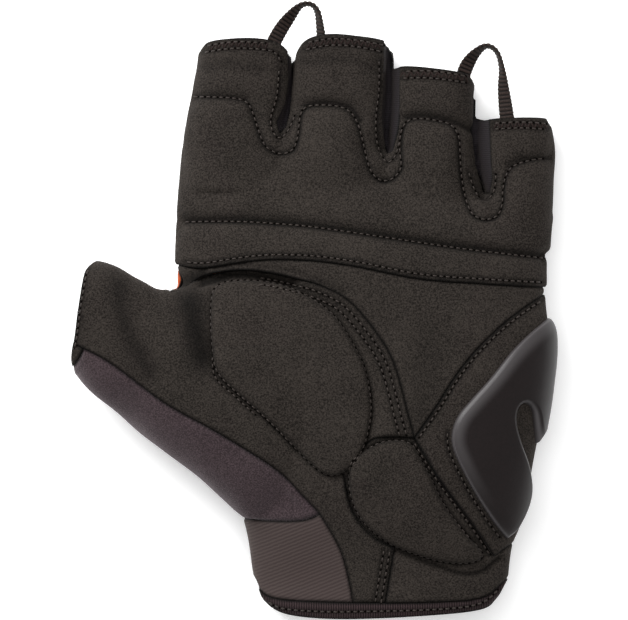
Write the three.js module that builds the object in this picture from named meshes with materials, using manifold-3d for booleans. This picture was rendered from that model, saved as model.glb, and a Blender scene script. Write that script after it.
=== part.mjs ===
// A fingerless cycling mitt for the left hand, modelled as it lies on its back with the palm up.
// Millimetres. +X runs to the little finger, +Y to the fingertips, +Z out of the palm.
import * as THREE from "three";
import { mergeVertices } from "three/addons/utils/BufferGeometryUtils.js";
import Module from "manifold-3d";

const wasm = await Module();
wasm.setup();

// Driving sizes of the mitt
const PALM_WIDTH = 105; // across the knuckles, laid flat
const GLOVE_LENGTH = 166; // from the cuff hem to the middle finger's hem
const PALM_DEPTH = 27; // from the back to the palm, as the hand fills it
const FINGER_DEPTH = 18; // through a finger stall at its root
const THUMB_DEPTH = 22; // through the thumb stall
const THUMB_LIFT = 7; // how far the thumb's end stands off the surface below
const WALL = 1.2; // suede, terry and stretch cloth with their lining
const BINDING_PROUD = 0.5; // how far the bound cuff hem stands out on both sides of the wall
const THENAR_PAD_DEPTH = 2.6;
const HEEL_PAD_DEPTH = 2.2;
const MOULDED_PAD_DEPTH = 2.0;
const PAD_EDGE = 2.6; // width of the rounded edge of every pad
const TAPE_WIDTH = 4.2; // woven tape of the two pull loops
const TAPE_THICKNESS = 1.1;
const TAPE_TUCK = 4; // length of tape sewn inside a finger's hem
const SEAM_GAP = 0.3; // between pieces that are sewn or laid together

// Sizes of the making
const RING_POINTS = 18; // points round a section
const ROUNDNESS = 2.35; // exponent of a section's superellipse, 2 is an ellipse
const WIDEST_AT = 0.45; // height of a section's widest line, as a share of its depth
const SIDE_SEAM_AT = 0.33; // height of the seam between palm side and back, as that share
const PRESSED = 1.2; // how much the back is flattened by lying
const REACH = 2 * GLOVE_LENGTH; // past every edge of the mitt
const SIDE_MARGIN = 6; // how far the mask of the palm side reaches past a section
const MERGE_DISTANCE = 1e-4;
const SLIVER_SHARE = 0.02; // a crumb of a cut that is smaller than this share of its piece
// Layers that round a pad's edge, as shares of its depth and of PAD_EDGE
const PAD_LAYERS = [
  { height: 0.5, inset: 0 },
  { height: 0.82, inset: 0.42 },
  { height: 1, inset: 1 },
];

/** Rows of numbers under named columns, as a list of objects. */
const table = (columns, ...rows) =>
  rows.map((row) => Object.fromEntries(columns.map((name, i) => [name, row[i]])));

// In every table x is a share of PALM_WIDTH and y of GLOVE_LENGTH, measured from the middle
// of the palm. A hand section runs from its thumb side (x1, y1) to its outer side (x2, y2).
// bottom and top are shares of the depth named beside each table.
const SECTION = ["x1", "y1", "x2", "y2", "bottom", "top"];
const PALM_SECTIONS = table(
  SECTION, // of PALM_DEPTH
  [-0.149, -0.575, 0.527, -0.567, 0, 0.8],
  [-0.16, -0.477, 0.529, -0.472, 0, 0.8],
  [-0.174, -0.412, 0.537, -0.415, 0, 0.84],
  [-0.193, -0.352, 0.567, -0.357, 0, 0.92],
  [-0.228, -0.249, 0.6, -0.249, 0, 1.0],
  [-0.277, -0.146, 0.63, -0.137, 0, 1.0],
  [-0.328, -0.043, 0.641, -0.06, 0, 0.97],
  [-0.369, 0.034, 0.63, 0.024, 0, 0.93],
  [-0.369, 0.082, 0.63, 0.072, 0, 0.9],
  [-0.366, 0.144, 0.641, 0.12, 0, 0.84],
  [-0.356, 0.24, 0.646, 0.151, 0, 0.73],
  [-0.35, 0.278, 0.649, 0.161, 0.05, 0.66],
);
const FINGER = ["y", "x1", "x2", "bottom", "top"]; // bottom and top of FINGER_DEPTH
const FINGERS = {
  index: table(
    FINGER,
    [0.498, -0.29, -0.038, 0.14, 0.98],
    [0.361, -0.327, -0.066, 0.07, 1.0],
    [0.319, -0.339, -0.087, 0.05, 1.02],
    [0.295, -0.345, -0.057, 0.03, 1.04],
    [0.206, -0.353, -0.008, 0.03, 1.04],
  ),
  middle: table(
    FINGER,
    [0.506, -0.035, 0.205, 0.15, 1.0],
    [0.361, -0.058, 0.202, 0.08, 1.03],
    [0.319, -0.079, 0.198, 0.05, 1.05],
    [0.275, -0.128, 0.195, 0.03, 1.07],
    [0.251, -0.138, 0.231, 0.02, 1.08],
    [0.18, -0.144, 0.25, 0.02, 1.08],
  ),
  ring: table(
    FINGER,
    [0.455, 0.212, 0.434, 0.12, 0.96],
    [0.275, 0.202, 0.437, 0.05, 1.02],
    [0.251, 0.171, 0.442, 0.03, 1.04],
    [0.196, 0.149, 0.461, 0.02, 1.05],
    [0.168, 0.144, 0.499, 0.02, 1.05],
    [0.12, 0.144, 0.508, 0.02, 1.05],
  ),
  little: table(
    FINGER,
    [0.369, 0.44, 0.624, 0.1, 0.86],
    [0.309, 0.441, 0.646, 0.08, 0.88],
    [0.268, 0.445, 0.654, 0.06, 0.9],
    [0.227, 0.456, 0.651, 0.04, 0.93],
    [0.196, 0.467, 0.649, 0.03, 0.95],
    [0.168, 0.432, 0.646, 0.02, 0.97],
    [0.103, 0.413, 0.641, 0.02, 0.97],
  ),
};
// The thumb's sections run from its upper edge (x1, y1) to its outer edge (x2, y2). lift is a
// share of THUMB_LIFT and depth one of THUMB_DEPTH. The last rows are the ball of the thumb.
const THUMB_SECTIONS = table(
  ["x1", "y1", "x2", "y2", "lift", "depth"],
  [-0.692, 0.082, -0.714, -0.069, 1.1, 0.84],
  [-0.594, 0.082, -0.654, -0.101, 1.0, 0.88],
  [-0.537, 0.074, -0.578, -0.149, 0.9, 0.93],
  [-0.47, 0.05, -0.47, -0.208, 0.75, 1.0],
  [-0.415, 0.034, -0.35, -0.268, 0.55, 1.08],
  [-0.366, 0.039, -0.239, -0.323, 0.35, 1.17],
  [-0.266, 0.076, -0.157, -0.364, 0.15, 1.23],
  [-0.157, 0.089, -0.062, -0.361, 0.1, 1.2],
  [-0.035, 0.076, 0.046, -0.309, 0.1, 1.12],
  [0.087, 0.009, 0.106, -0.24, 0.1, 0.9],
);

// Lines of the pattern, seen from the palm side. Each is a smooth curve through its points.
const LINE = {
  indexHem: [[-0.347, 0.426], [-0.307, 0.443], [-0.282, 0.46], [-0.198, 0.466], [-0.128, 0.464], [-0.087, 0.455], [-0.055, 0.433]],
  middleHem: [[-0.055, 0.419], [-0.033, 0.453], [-0.005, 0.467], [0.046, 0.473], [0.114, 0.47], [0.193, 0.462], [0.21, 0.443]],
  ringHem: [[0.211, 0.414], [0.263, 0.418], [0.388, 0.409], [0.426, 0.4], [0.438, 0.378]],
  littleHem: [[0.439, 0.331], [0.459, 0.326], [0.508, 0.329], [0.616, 0.33], [0.638, 0.323], [0.665, 0.283]],
  thumbHem: [[-0.562, 0.103], [-0.594, 0.082], [-0.619, 0.065], [-0.632, 0.021], [-0.649, -0.048], [-0.657, -0.082], [-0.649, -0.11], [-0.627, -0.134]],
  cuffHem: [[-0.198, -0.429], [-0.157, -0.467], [-0.138, -0.496], [-0.095, -0.517], [-0.027, -0.526], [0.087, -0.529], [0.263, -0.525],
    [0.448, -0.515], [0.499, -0.496], [0.529, -0.467], [0.575, -0.421]],
  overlay: [[-0.415, 0.091], [-0.366, 0.082], [-0.307, 0.072], [-0.198, 0.084], [-0.035, 0.093], [0.128, 0.081], [0.345, 0.057],
    [0.562, 0.043], [0.698, 0.038]],
  thumbArc: [[-0.404, 0.058], [-0.383, 0.033], [-0.345, 0.05], [-0.293, 0.063], [-0.157, 0.068], [-0.022, 0.058], [0.1, 0.015],
    [0.195, -0.069], [0.252, -0.155], [0.274, -0.218]],
  outerEdge: [[0.698, 0.045], [0.63, 0.026], [0.535, -0.014], [0.448, -0.064], [0.385, -0.113], [0.331, -0.167], [0.274, -0.218]],
  heelTop: [[0.274, -0.218], [0.176, -0.218], [0.128, -0.239], [0.081, -0.278]],
  heelOuter: [[0.274, -0.218], [0.345, -0.292], [0.426, -0.361], [0.491, -0.422]],
  heelSide: [[0.491, -0.422], [0.54, -0.402], [0.616, -0.374]],
  heelInner: [[0.081, -0.278], [0.119, -0.335], [0.204, -0.405]],
  heelSeam: [[0.204, -0.405], [0.193, -0.438], [0.174, -0.505]],
  terrySeam: [[-0.719, -0.034], [-0.649, -0.057], [-0.551, -0.089], [-0.402, -0.158], [-0.252, -0.211], [-0.103, -0.271], [-0.027, -0.318], [0.019, -0.349]],
  terryEnd: [[0.019, -0.349], [-0.035, -0.361], [-0.157, -0.361], [-0.247, -0.352]],
  stretchEdge: [[0.019, -0.349], [0.073, -0.409], [0.098, -0.464], [0.109, -0.505]],
  bindingTop: [[-0.212, -0.45], [-0.155, -0.477], [-0.095, -0.496], [0.109, -0.501], [0.345, -0.5], [0.459, -0.493], [0.518, -0.467],
    [0.575, -0.433]],
  thumbBack: [[-0.429, 0.058], [-0.361, 0.017], [-0.293, -0.086], [-0.22, -0.206], [-0.138, -0.309], [-0.035, -0.364]],
  gusset: [[-0.442, 0.12], [-0.356, 0.11], [-0.266, 0.082], [-0.22, 0.017], [-0.231, -0.052], [-0.312, -0.065]],
  thenarPad: [[-0.285, 0.024], [-0.247, 0.043], [-0.13, 0.041], [-0.008, 0.01], [0.087, -0.043], [0.144, -0.106], [0.157, -0.172],
    [0.138, -0.233], [0.073, -0.278], [0.014, -0.268], [-0.103, -0.197], [-0.258, -0.103], [-0.28, -0.026]],
  heelPad: [[0.095, -0.288], [0.106, -0.259], [0.176, -0.228], [0.269, -0.225], [0.345, -0.292], [0.426, -0.367], [0.483, -0.419],
    [0.394, -0.434], [0.236, -0.4], [0.144, -0.35]],
};
// Outlines with corners, joined by straight lines
const OUTLINE = {
  mouldedPad: [[0.638, -0.012], [0.508, -0.094], [0.41, -0.163], [0.375, -0.216], [0.394, -0.259], [0.478, -0.352], [0.521, -0.391],
    [0.565, -0.352], [0.584, -0.295], [0.546, -0.189], [0.554, -0.165], [0.575, -0.163], [0.592, -0.18], [0.6, -0.228], [0.649, -0.197],
    [0.692, -0.155], [0.692, -0.012]],
  indexGap: [[-0.073, 0.489], [-0.071, 0.395], [-0.081, 0.352], [-0.106, 0.319], [-0.092, 0.299], [-0.068, 0.312], [-0.041, 0.34],
    [-0.027, 0.374], [-0.027, 0.489]],
  middleGap: [[0.193, 0.489], [0.19, 0.378], [0.176, 0.326], [0.182, 0.288], [0.198, 0.259], [0.217, 0.271], [0.233, 0.309],
    [0.236, 0.361], [0.236, 0.489]],
  ringGap: [[0.436, 0.429], [0.432, 0.335], [0.434, 0.275], [0.445, 0.22], [0.459, 0.179], [0.483, 0.179], [0.489, 0.223],
    [0.48, 0.343], [0.48, 0.429]],
};
// Each pull loop as the tape runs: rise is a share of FINGER_DEPTH over its two seats, and turn
// is how far the tape's width is turned up out of the plane of the palm, in degrees.
const LOOP = ["x", "y", "rise", "turn"];
const LOOPS = {
  index_pull_loop: {
    from: "index",
    to: "middle",
    points: table(
      LOOP,
      [-0.111, 0.45, 0, 0],
      [-0.092, 0.476, 0.04, 15],
      [-0.062, 0.503, 0.08, 45],
      [-0.033, 0.522, 0.1, 75],
      [-0.005, 0.524, 0.1, 82],
      [0.012, 0.512, 0.09, 75],
      [0.019, 0.488, 0.04, 65],
      [0.024, 0.457, 0, 55],
    ),
  },
  ring_pull_loop: {
    from: "ring",
    to: "little",
    points: table(
      LOOP,
      [0.404, 0.391, 0, 0],
      [0.418, 0.419, 0.03, 20],
      [0.442, 0.441, 0.08, 55],
      [0.472, 0.453, 0.1, 78],
      [0.499, 0.443, 0.1, 82],
      [0.513, 0.415, 0.06, 75],
      [0.518, 0.378, 0.03, 45],
      [0.529, 0.319, 0, 10],
    ),
  },
};

// Colours from the photograph, with how shiny each surface is
const FINISH = {
  suede: { color: 0x322e2a, roughness: 0.95 },
  terry: { color: 0x3c3336, roughness: 1 },
  stretch: { color: 0x46403e, roughness: 0.8 },
  lycra: { color: 0x3a353b, roughness: 0.75 },
  binding: { color: 0x3a3032, roughness: 0.85 },
  orange: { color: 0xc05a2c, roughness: 0.85 },
  backMesh: { color: 0x2b2829, roughness: 0.9 },
  rubber: { color: 0x3a393c, roughness: 0.45 },
  tape: { color: 0x2c2522, roughness: 0.8 },
};

const place = ([x, y]) => new THREE.Vector2(x * PALM_WIDTH, y * GLOVE_LENGTH);

/** The points of a named line, smooth between the chosen ones. */
function line(name, stepsPerSpan = 1) {
  const points = LINE[name].map(place);
  return new THREE.SplineCurve(points).getPoints((points.length - 1) * stepsPerSpan);
}

/** Removes the normals and shared-corner copies, and makes a solid that can be cut and joined. */
function solidOf(geometry) {
  geometry.deleteAttribute("normal");
  geometry.deleteAttribute("uv");
  const merged = mergeVertices(geometry, MERGE_DISTANCE);
  return new wasm.Manifold(
    new wasm.Mesh({
      numProp: 3,
      vertProperties: new Float32Array(merged.attributes.position.array),
      triVerts: new Uint32Array(merged.index.array),
    }),
  );
}

/** A closed skin through rings of points, with a fan over each end. */
function loft(rings) {
  const count = rings[0].length;
  const ends = [rings[0], rings[rings.length - 1]].map((ring) =>
    ring.reduce((sum, point) => sum.add(point), new THREE.Vector3()).divideScalar(count),
  );
  const points = [...rings.flat(), ...ends];
  const firstEnd = rings.length * count;
  const faces = [];
  for (let i = 0; i < count; i += 1) {
    const next = (i + 1) % count;
    for (let row = 0; row + 1 < rings.length; row += 1) {
      const a = row * count;
      const b = a + count;
      faces.push([a + i, a + next, b + next], [a + i, b + next, b + i]);
    }
    const last = firstEnd - count;
    faces.push([firstEnd, next, i], [firstEnd + 1, last + i, last + next]);
  }
  const volume = faces.reduce(
    (sum, [a, b, c]) => sum + points[a].dot(new THREE.Vector3().crossVectors(points[b], points[c])),
    0,
  );
  const outward = volume > 0 ? faces : faces.map(([a, b, c]) => [a, c, b]);
  const geometry = new THREE.BufferGeometry().setFromPoints(points);
  geometry.setIndex(outward.flat());
  return solidOf(geometry);
}

/** A prism over an outline, from below the mitt to above it. */
function prism(outline) {
  const shape = new THREE.Shape(outline);
  const geometry = new THREE.ExtrudeGeometry(shape, { depth: 2 * REACH, bevelEnabled: false });
  geometry.translate(0, 0, -REACH);
  return solidOf(geometry);
}

/** Moves each point of a line sideways, to its left for a positive distance. */
function shifted(points, distance, closed = false) {
  const count = points.length;
  return points.map((point, i) => {
    const before = points[closed ? (i + count - 1) % count : Math.max(i - 1, 0)];
    const after = points[closed ? (i + 1) % count : Math.min(i + 1, count - 1)];
    const along = after.clone().sub(before).normalize();
    return point.clone().add(new THREE.Vector2(-along.y, along.x).multiplyScalar(distance));
  });
}

/** The narrow space that a sewn seam keeps open, as a wall along its line. */
function seamSpace(points, closed = false) {
  if (closed) {
    const ring = [...points, points[0]];
    return join(ring.slice(1).map((point, i) => seamSpace([ring[i], point])));
  }
  const start = points[0].clone().sub(points[1]).setLength(SEAM_GAP);
  const end = points.at(-1).clone().sub(points.at(-2)).setLength(SEAM_GAP);
  const longer = [points[0].clone().add(start), ...points.slice(1, -1), points.at(-1).clone().add(end)];
  const left = shifted(longer, SEAM_GAP / 2);
  const right = shifted(longer, -SEAM_GAP / 2);
  return prism([...left, ...right.reverse()]);
}

function join(solids) {
  return solids.reduce((whole, solid) => whole.add(solid));
}

/** Every section of the hand's form, with its heights in millimetres. */
const FORMS = {
  palm: PALM_SECTIONS.map((row) => ({
    start: place([row.x1, row.y1]),
    end: place([row.x2, row.y2]),
    bottom: row.bottom * PALM_DEPTH - PRESSED,
    top: row.top * PALM_DEPTH,
  })),
  thumb: THUMB_SECTIONS.map((row) => ({
    start: place([row.x1, row.y1]),
    end: place([row.x2, row.y2]),
    bottom: row.lift * THUMB_LIFT,
    top: row.lift * THUMB_LIFT + row.depth * THUMB_DEPTH,
  })),
};
for (const [name, rows] of Object.entries(FINGERS)) {
  FORMS[name] = rows.map((row) => ({
    start: place([row.x1, row.y]),
    end: place([row.x2, row.y]),
    bottom: row.bottom * FINGER_DEPTH - PRESSED,
    top: row.top * FINGER_DEPTH,
  }));
}

/** The ring of points of a section, grown outward by so much, flat where it meets the floor. */
function sectionRing({ start, end, bottom, top }, grow) {
  const half = start.distanceTo(end) / 2;
  const across = end.clone().sub(start).normalize();
  const centre = start.clone().add(end).divideScalar(2);
  const widest = bottom + (top - bottom) * WIDEST_AT;
  const bulge = (value) => Math.sign(value) * Math.abs(value) ** (2 / ROUNDNESS);
  return Array.from({ length: RING_POINTS }, (_, i) => {
    const angle = (2 * Math.PI * i) / RING_POINTS;
    const u = bulge(Math.cos(angle)) * (half + grow);
    const v = bulge(Math.sin(angle));
    const z = widest + v * (v > 0 ? top + grow - widest : widest - bottom + grow);
    const floor = Math.max(-grow, 0);
    return new THREE.Vector3(centre.x + across.x * u, centre.y + across.y * u, Math.max(z, floor));
  });
}

/** The whole hand's form, grown outward or, for a negative amount, drawn in. */
const grownForms = new Map();
function handForm(grow) {
  if (!grownForms.has(grow)) {
    const lofts = Object.values(FORMS).map((rows) => loft(rows.map((row) => sectionRing(row, grow))));
    grownForms.set(grow, join(lofts));
  }
  return grownForms.get(grow);
}

/** The space over the side seam, which runs a little below each section's widest line. */
function palmSide(drop) {
  const blocks = Object.values(FORMS).map((rows) =>
    loft(
      rows.map(({ start, end, bottom, top }) => {
        const margin = end.clone().sub(start).setLength(SIDE_MARGIN);
        const a = start.clone().sub(margin);
        const b = end.clone().add(margin);
        const low = bottom + (top - bottom) * SIDE_SEAM_AT - drop;
        return [
          new THREE.Vector3(b.x, b.y, low),
          new THREE.Vector3(b.x, b.y, REACH),
          new THREE.Vector3(a.x, a.y, REACH),
          new THREE.Vector3(a.x, a.y, low),
        ];
      }),
    ),
  );
  return join(blocks);
}

/** A point past the mitt's edge, level with a line's point. */
const above = (point) => new THREE.Vector2(point.x, REACH);
const below = (point) => new THREE.Vector2(point.x, -REACH);
const leftOf = (point) => new THREE.Vector2(-REACH, point.y);
const rightOf = (point) => new THREE.Vector2(REACH, point.y);
const back = (points) => [...points].reverse();

// What lies past the hems of the fingers, the thumb and the cuff
const fingerHems = ["indexHem", "middleHem", "ringHem", "littleHem"].map((name) => {
  const hem = line(name);
  return prism([...hem, above(hem.at(-1)), above(hem[0])]);
});
const thumbHem = line("thumbHem");
const cuffHem = line("cuffHem");
const pastHems = join([
  ...fingerHems,
  prism([...thumbHem, leftOf(thumbHem.at(-1)), leftOf(thumbHem[0])]),
  prism([...cuffHem, below(cuffHem.at(-1)), below(cuffHem[0])]),
]);

// The regions of the pattern, each bounded by the lines that it shares with its neighbours
const overlay = line("overlay");
const thumbArc = line("thumbArc");
const outerEdge = line("outerEdge");
const heelTop = line("heelTop");
const heelOuter = line("heelOuter");
const heelSide = line("heelSide");
const heelInner = line("heelInner");
const heelSeam = line("heelSeam");
const terrySeam = line("terrySeam");
const terryEnd = line("terryEnd");
const stretchEdge = line("stretchEdge");
const bindingTop = line("bindingTop");
const thumbBack = line("thumbBack");
const gusset = line("gusset");
const gaps = [OUTLINE.indexGap, OUTLINE.middleGap, OUTLINE.ringGap].map((points) => points.map(place));

const REGION = {
  cuff: prism([...bindingTop, below(bindingTop.at(-1)), below(bindingTop[0])]),
  fingers: prism([...overlay, above(overlay.at(-1)), above(overlay[0])]),
  terry: prism([...terrySeam, ...terryEnd, leftOf(terryEnd.at(-1)), leftOf(terrySeam[0])]),
  stretch: prism([...stretchEdge, below(stretchEdge.at(-1)), below(terryEnd.at(-1)), ...back(terryEnd)]),
  side: prism([...outerEdge, ...heelOuter, ...heelSide, rightOf(heelSide.at(-1)), rightOf(outerEdge[0])]),
  heel: prism([
    ...back(heelTop),
    ...heelOuter,
    ...heelSide,
    rightOf(heelSide.at(-1)),
    new THREE.Vector2(REACH, -REACH),
    below(heelSeam.at(-1)),
    ...back(heelSeam),
    ...back(heelInner),
  ]),
  thumb: prism([
    ...thumbArc,
    ...heelTop,
    ...heelInner,
    ...heelSeam,
    below(heelSeam.at(-1)),
    new THREE.Vector2(-REACH, -REACH),
    new THREE.Vector2(-REACH, REACH),
    above(thumbArc[0]),
  ]),
  thumbBack: prism([
    ...thumbBack,
    below(thumbBack.at(-1)),
    new THREE.Vector2(-REACH, -REACH),
    new THREE.Vector2(-REACH, REACH),
    above(thumbBack[0]),
  ]),
  gusset: prism([...gusset, leftOf(gusset.at(-1)), leftOf(gusset[0])]),
};

const frontSpaces = join(
  [overlay, thumbArc, outerEdge, heelTop, heelOuter, heelSide, heelInner, heelSeam, terrySeam, terryEnd,
    stretchEdge].map((points) => seamSpace(points)),
).intersect(palmSide(SEAM_GAP));
const backSpaces = join([
  ...[thumbBack, gusset].map((points) => seamSpace(points)),
  seamSpace(terryEnd).intersect(REGION.thumbBack),
]).subtract(palmSide(0));
const throughSpaces = join([seamSpace(bindingTop), ...gaps.map((points) => seamSpace(points, true))]);

const skin = handForm(0)
  .subtract(handForm(-WALL))
  .subtract(pastHems)
  .subtract(frontSpaces)
  .subtract(backSpaces)
  .subtract(throughSpaces);

/** Drops the crumbs that a cut leaves beside its piece. */
function withoutCrumbs(solid) {
  const parts = solid.decompose();
  const largest = Math.max(...parts.map((part) => part.volume()));
  return join(parts.filter((part) => part.volume() > SLIVER_SHARE * largest));
}

const glove = new THREE.Group();

/** Adds a named piece with its finish. */
function addPiece(name, solid, finish) {
  const { vertProperties, triVerts } = withoutCrumbs(solid).getMesh();
  const geometry = new THREE.BufferGeometry();
  geometry.setAttribute("position", new THREE.BufferAttribute(new Float32Array(vertProperties), 3));
  geometry.setIndex([...triVerts]);
  geometry.computeVertexNormals();
  const material = new THREE.MeshStandardMaterial({ ...finish, metalness: 0 });
  const mesh = new THREE.Mesh(geometry, material);
  mesh.name = name;
  glove.add(mesh);
}

// The three side strips between the fingers, from the palm side round to the back
const gapPrisms = gaps.map((points) => prism(points));
["index_fourchette", "middle_fourchette", "ring_fourchette"].forEach((name, i) => {
  addPiece(name, skin.intersect(gapPrisms[i]), FINISH.lycra);
});

// The terry runs from its seam on the palm side round the thumb's outer edge to its back
const terryFront = skin.intersect(REGION.terry).intersect(palmSide(0));
const terryBack = skin.intersect(REGION.thumbBack).subtract(REGION.cuff).subtract(REGION.stretch);
const terryRound = terryBack.intersect(REGION.terry).intersect(palmSide(2 * SEAM_GAP));
addPiece("thumb_terry", join([terryFront, terryRound, terryBack.subtract(palmSide(SEAM_GAP))]), FINISH.terry);

// The palm side is cut from the skin one region after another
let front = skin.intersect(palmSide(0)).subtract(REGION.cuff).subtract(join(gapPrisms)).subtract(REGION.terry);
for (const [name, region, finish] of [
  ["finger_panel", REGION.fingers, FINISH.suede],
  ["wrist_stretch_panel", REGION.stretch, FINISH.stretch],
  ["side_panel", REGION.side, FINISH.suede],
  ["heel_panel", REGION.heel, FINISH.suede],
  ["thumb_panel", REGION.thumb, FINISH.suede],
]) {
  addPiece(name, front.intersect(region), finish);
  front = front.subtract(region);
}
addPiece("palm_panel", front, FINISH.suede);

// The back is plain stretch cloth, with a gusset at the root of the thumb
const backSkin = skin
  .subtract(palmSide(SEAM_GAP))
  .subtract(REGION.cuff)
  .subtract(join(gapPrisms))
  .subtract(REGION.thumbBack.subtract(REGION.stretch));
addPiece("thumb_gusset", backSkin.intersect(REGION.gusset), FINISH.orange);
addPiece("back_panel", backSkin.subtract(REGION.gusset), FINISH.backMesh);

// The cuff hem is bound with folded cloth all round
const bindingSpace = handForm(BINDING_PROUD).subtract(handForm(-WALL - BINDING_PROUD));
addPiece(
  "cuff_binding",
  bindingSpace.intersect(REGION.cuff).subtract(pastHems).subtract(seamSpace(bindingTop)),
  FINISH.binding,
);

/** A pad that lies on the palm side and is rounded towards its edge. */
function pad(outline, depth, region) {
  const seat = handForm(SEAM_GAP);
  const turn = THREE.ShapeUtils.isClockWise(outline) ? -1 : 1;
  const layers = PAD_LAYERS.map(({ height, inset }) =>
    handForm(SEAM_GAP + depth * height)
      .subtract(seat)
      .intersect(prism(shifted(outline, turn * inset * PAD_EDGE, true))),
  );
  return join(layers).intersect(palmSide(0)).intersect(region).subtract(frontSpaces);
}

/** The smooth closed outline of a pad. */
function padOutline(name) {
  const points = LINE[name].map((point) => {
    const { x, y } = place(point);
    return new THREE.Vector3(x, y, 0);
  });
  const curve = new THREE.CatmullRomCurve3(points, true);
  return curve
    .getPoints(points.length * 2)
    .slice(0, -1)
    .map(({ x, y }) => new THREE.Vector2(x, y));
}

addPiece("thenar_pad", pad(padOutline("thenarPad"), THENAR_PAD_DEPTH, REGION.thumb), FINISH.suede);
addPiece("heel_pad", pad(padOutline("heelPad"), HEEL_PAD_DEPTH, REGION.heel), FINISH.suede);
addPiece("moulded_pad", pad(OUTLINE.mouldedPad.map(place), MOULDED_PAD_DEPTH, REGION.side), FINISH.rubber);

/** The height of a finger stall's palm side over a point, with its wall grown or drawn in. */
function stallHeight(name, { x, y }, grow) {
  const rows = FORMS[name];
  const at = rows.findIndex((row) => row.start.y < y);
  const upper = rows[at - 1];
  const lower = rows[at];
  const share = (y - upper.start.y) / (lower.start.y - upper.start.y);
  const mix = (pick) => THREE.MathUtils.lerp(pick(upper), pick(lower), share);
  const centre = mix((row) => (row.start.x + row.end.x) / 2);
  const half = mix((row) => (row.end.x - row.start.x) / 2) + grow;
  const top = mix((row) => row.top);
  const widest = mix((row) => row.bottom + (row.top - row.bottom) * WIDEST_AT);
  const aside = Math.min(Math.abs((x - centre) / half), 1);
  const bend = (1 - aside ** ROUNDNESS) ** (1 / ROUNDNESS);
  return widest + bend * (top + grow - widest);
}

/** A pull loop: tape that leaves one stall's mouth, turns on edge and enters the next stall. */
function pullLoop({ from, to, points }) {
  const first = points[0];
  const last = points.at(-1);
  const seats = [
    { finger: from, row: first },
    { finger: to, row: last },
  ].map(({ finger, row }) => {
    const turn = THREE.MathUtils.degToRad(row.turn);
    const half = (TAPE_WIDTH * Math.sin(turn) + TAPE_THICKNESS * Math.cos(turn)) / 2;
    return stallHeight(finger, place([row.x, row.y]), -WALL) - SEAM_GAP - half;
  });
  const tuck = (row) => ({ ...row, y: row.y - TAPE_TUCK / GLOVE_LENGTH });
  const rows = [tuck(first), ...points, tuck(last)];
  const centres = rows.map(({ x, y, rise }, i) => {
    const share = i / (rows.length - 1);
    const at = place([x, y]);
    return new THREE.Vector3(at.x, at.y, THREE.MathUtils.lerp(...seats, share) + rise * FINGER_DEPTH);
  });
  const rings = centres.map((centre, i) => {
    const before = centres[Math.max(i - 1, 0)];
    const after = centres[Math.min(i + 1, centres.length - 1)];
    const along = after.clone().sub(before).normalize();
    const flat = new THREE.Vector3(-along.y, along.x, 0).normalize();
    const up = new THREE.Vector3().crossVectors(along, flat).normalize();
    const turn = THREE.MathUtils.degToRad(rows[i].turn);
    const wide = flat.clone().multiplyScalar(Math.cos(turn)).addScaledVector(up, Math.sin(turn));
    const thick = new THREE.Vector3().crossVectors(along, wide).normalize();
    return [[1, 1], [-1, 1], [-1, -1], [1, -1]].map(([w, t]) =>
      centre
        .clone()
        .addScaledVector(wide, (w * TAPE_WIDTH) / 2)
        .addScaledVector(thick, (t * TAPE_THICKNESS) / 2),
    );
  });
  return loft(rings);
}

const wallsWithRoom = handForm(SEAM_GAP)
  .subtract(handForm(-WALL - SEAM_GAP))
  .subtract(pastHems.translate([0, SEAM_GAP, 0]));
for (const [name, loop] of Object.entries(LOOPS)) {
  addPiece(name, pullLoop(loop).subtract(wallsWithRoom), FINISH.tape);
}

// The origin is on the surface that the mitt lies on, under the middle of its outline
const centre = new THREE.Box3().setFromObject(glove).getCenter(new THREE.Vector3());
glove.position.set(-centre.x, -centre.y, 0);

export default glove;
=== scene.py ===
"""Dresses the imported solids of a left-hand fingerless cycling mitt.

The mitt lies on its back with the palm up: +X to the little finger, +Y to the fingertips, +Z out
of the palm. Shapes are worked out in millimetres and written to Blender in metres.
"""

from __future__ import annotations

import logging
import math
from dataclasses import dataclass, field
from enum import Enum
from typing import Iterable, Sequence

import bmesh
import bpy
import numpy as np
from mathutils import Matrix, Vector
from mathutils.bvhtree import BVHTree
from mathutils.kdtree import KDTree

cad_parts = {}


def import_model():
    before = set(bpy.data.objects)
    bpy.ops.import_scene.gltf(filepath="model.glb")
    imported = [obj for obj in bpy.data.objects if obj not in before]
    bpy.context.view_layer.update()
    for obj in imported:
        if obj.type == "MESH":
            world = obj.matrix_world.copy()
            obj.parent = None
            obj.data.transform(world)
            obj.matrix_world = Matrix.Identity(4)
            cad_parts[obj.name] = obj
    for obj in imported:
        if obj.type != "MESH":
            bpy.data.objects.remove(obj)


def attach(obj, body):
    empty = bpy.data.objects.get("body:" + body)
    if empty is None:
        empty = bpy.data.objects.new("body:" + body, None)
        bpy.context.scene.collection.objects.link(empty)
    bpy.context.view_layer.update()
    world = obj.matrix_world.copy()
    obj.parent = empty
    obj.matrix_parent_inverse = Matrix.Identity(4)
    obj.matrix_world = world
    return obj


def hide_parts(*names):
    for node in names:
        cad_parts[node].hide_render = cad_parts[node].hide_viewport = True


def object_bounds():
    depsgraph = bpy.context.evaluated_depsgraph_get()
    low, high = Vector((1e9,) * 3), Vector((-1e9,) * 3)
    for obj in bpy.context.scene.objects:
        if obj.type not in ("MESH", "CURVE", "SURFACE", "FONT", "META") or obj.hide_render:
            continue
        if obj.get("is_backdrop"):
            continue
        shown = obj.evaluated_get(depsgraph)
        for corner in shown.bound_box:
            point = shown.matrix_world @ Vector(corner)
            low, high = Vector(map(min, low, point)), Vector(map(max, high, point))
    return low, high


log = logging.getLogger("mitt")

Points = np.ndarray
Share = tuple[float, float]

MM = 0.001
BODY = "root"

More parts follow.
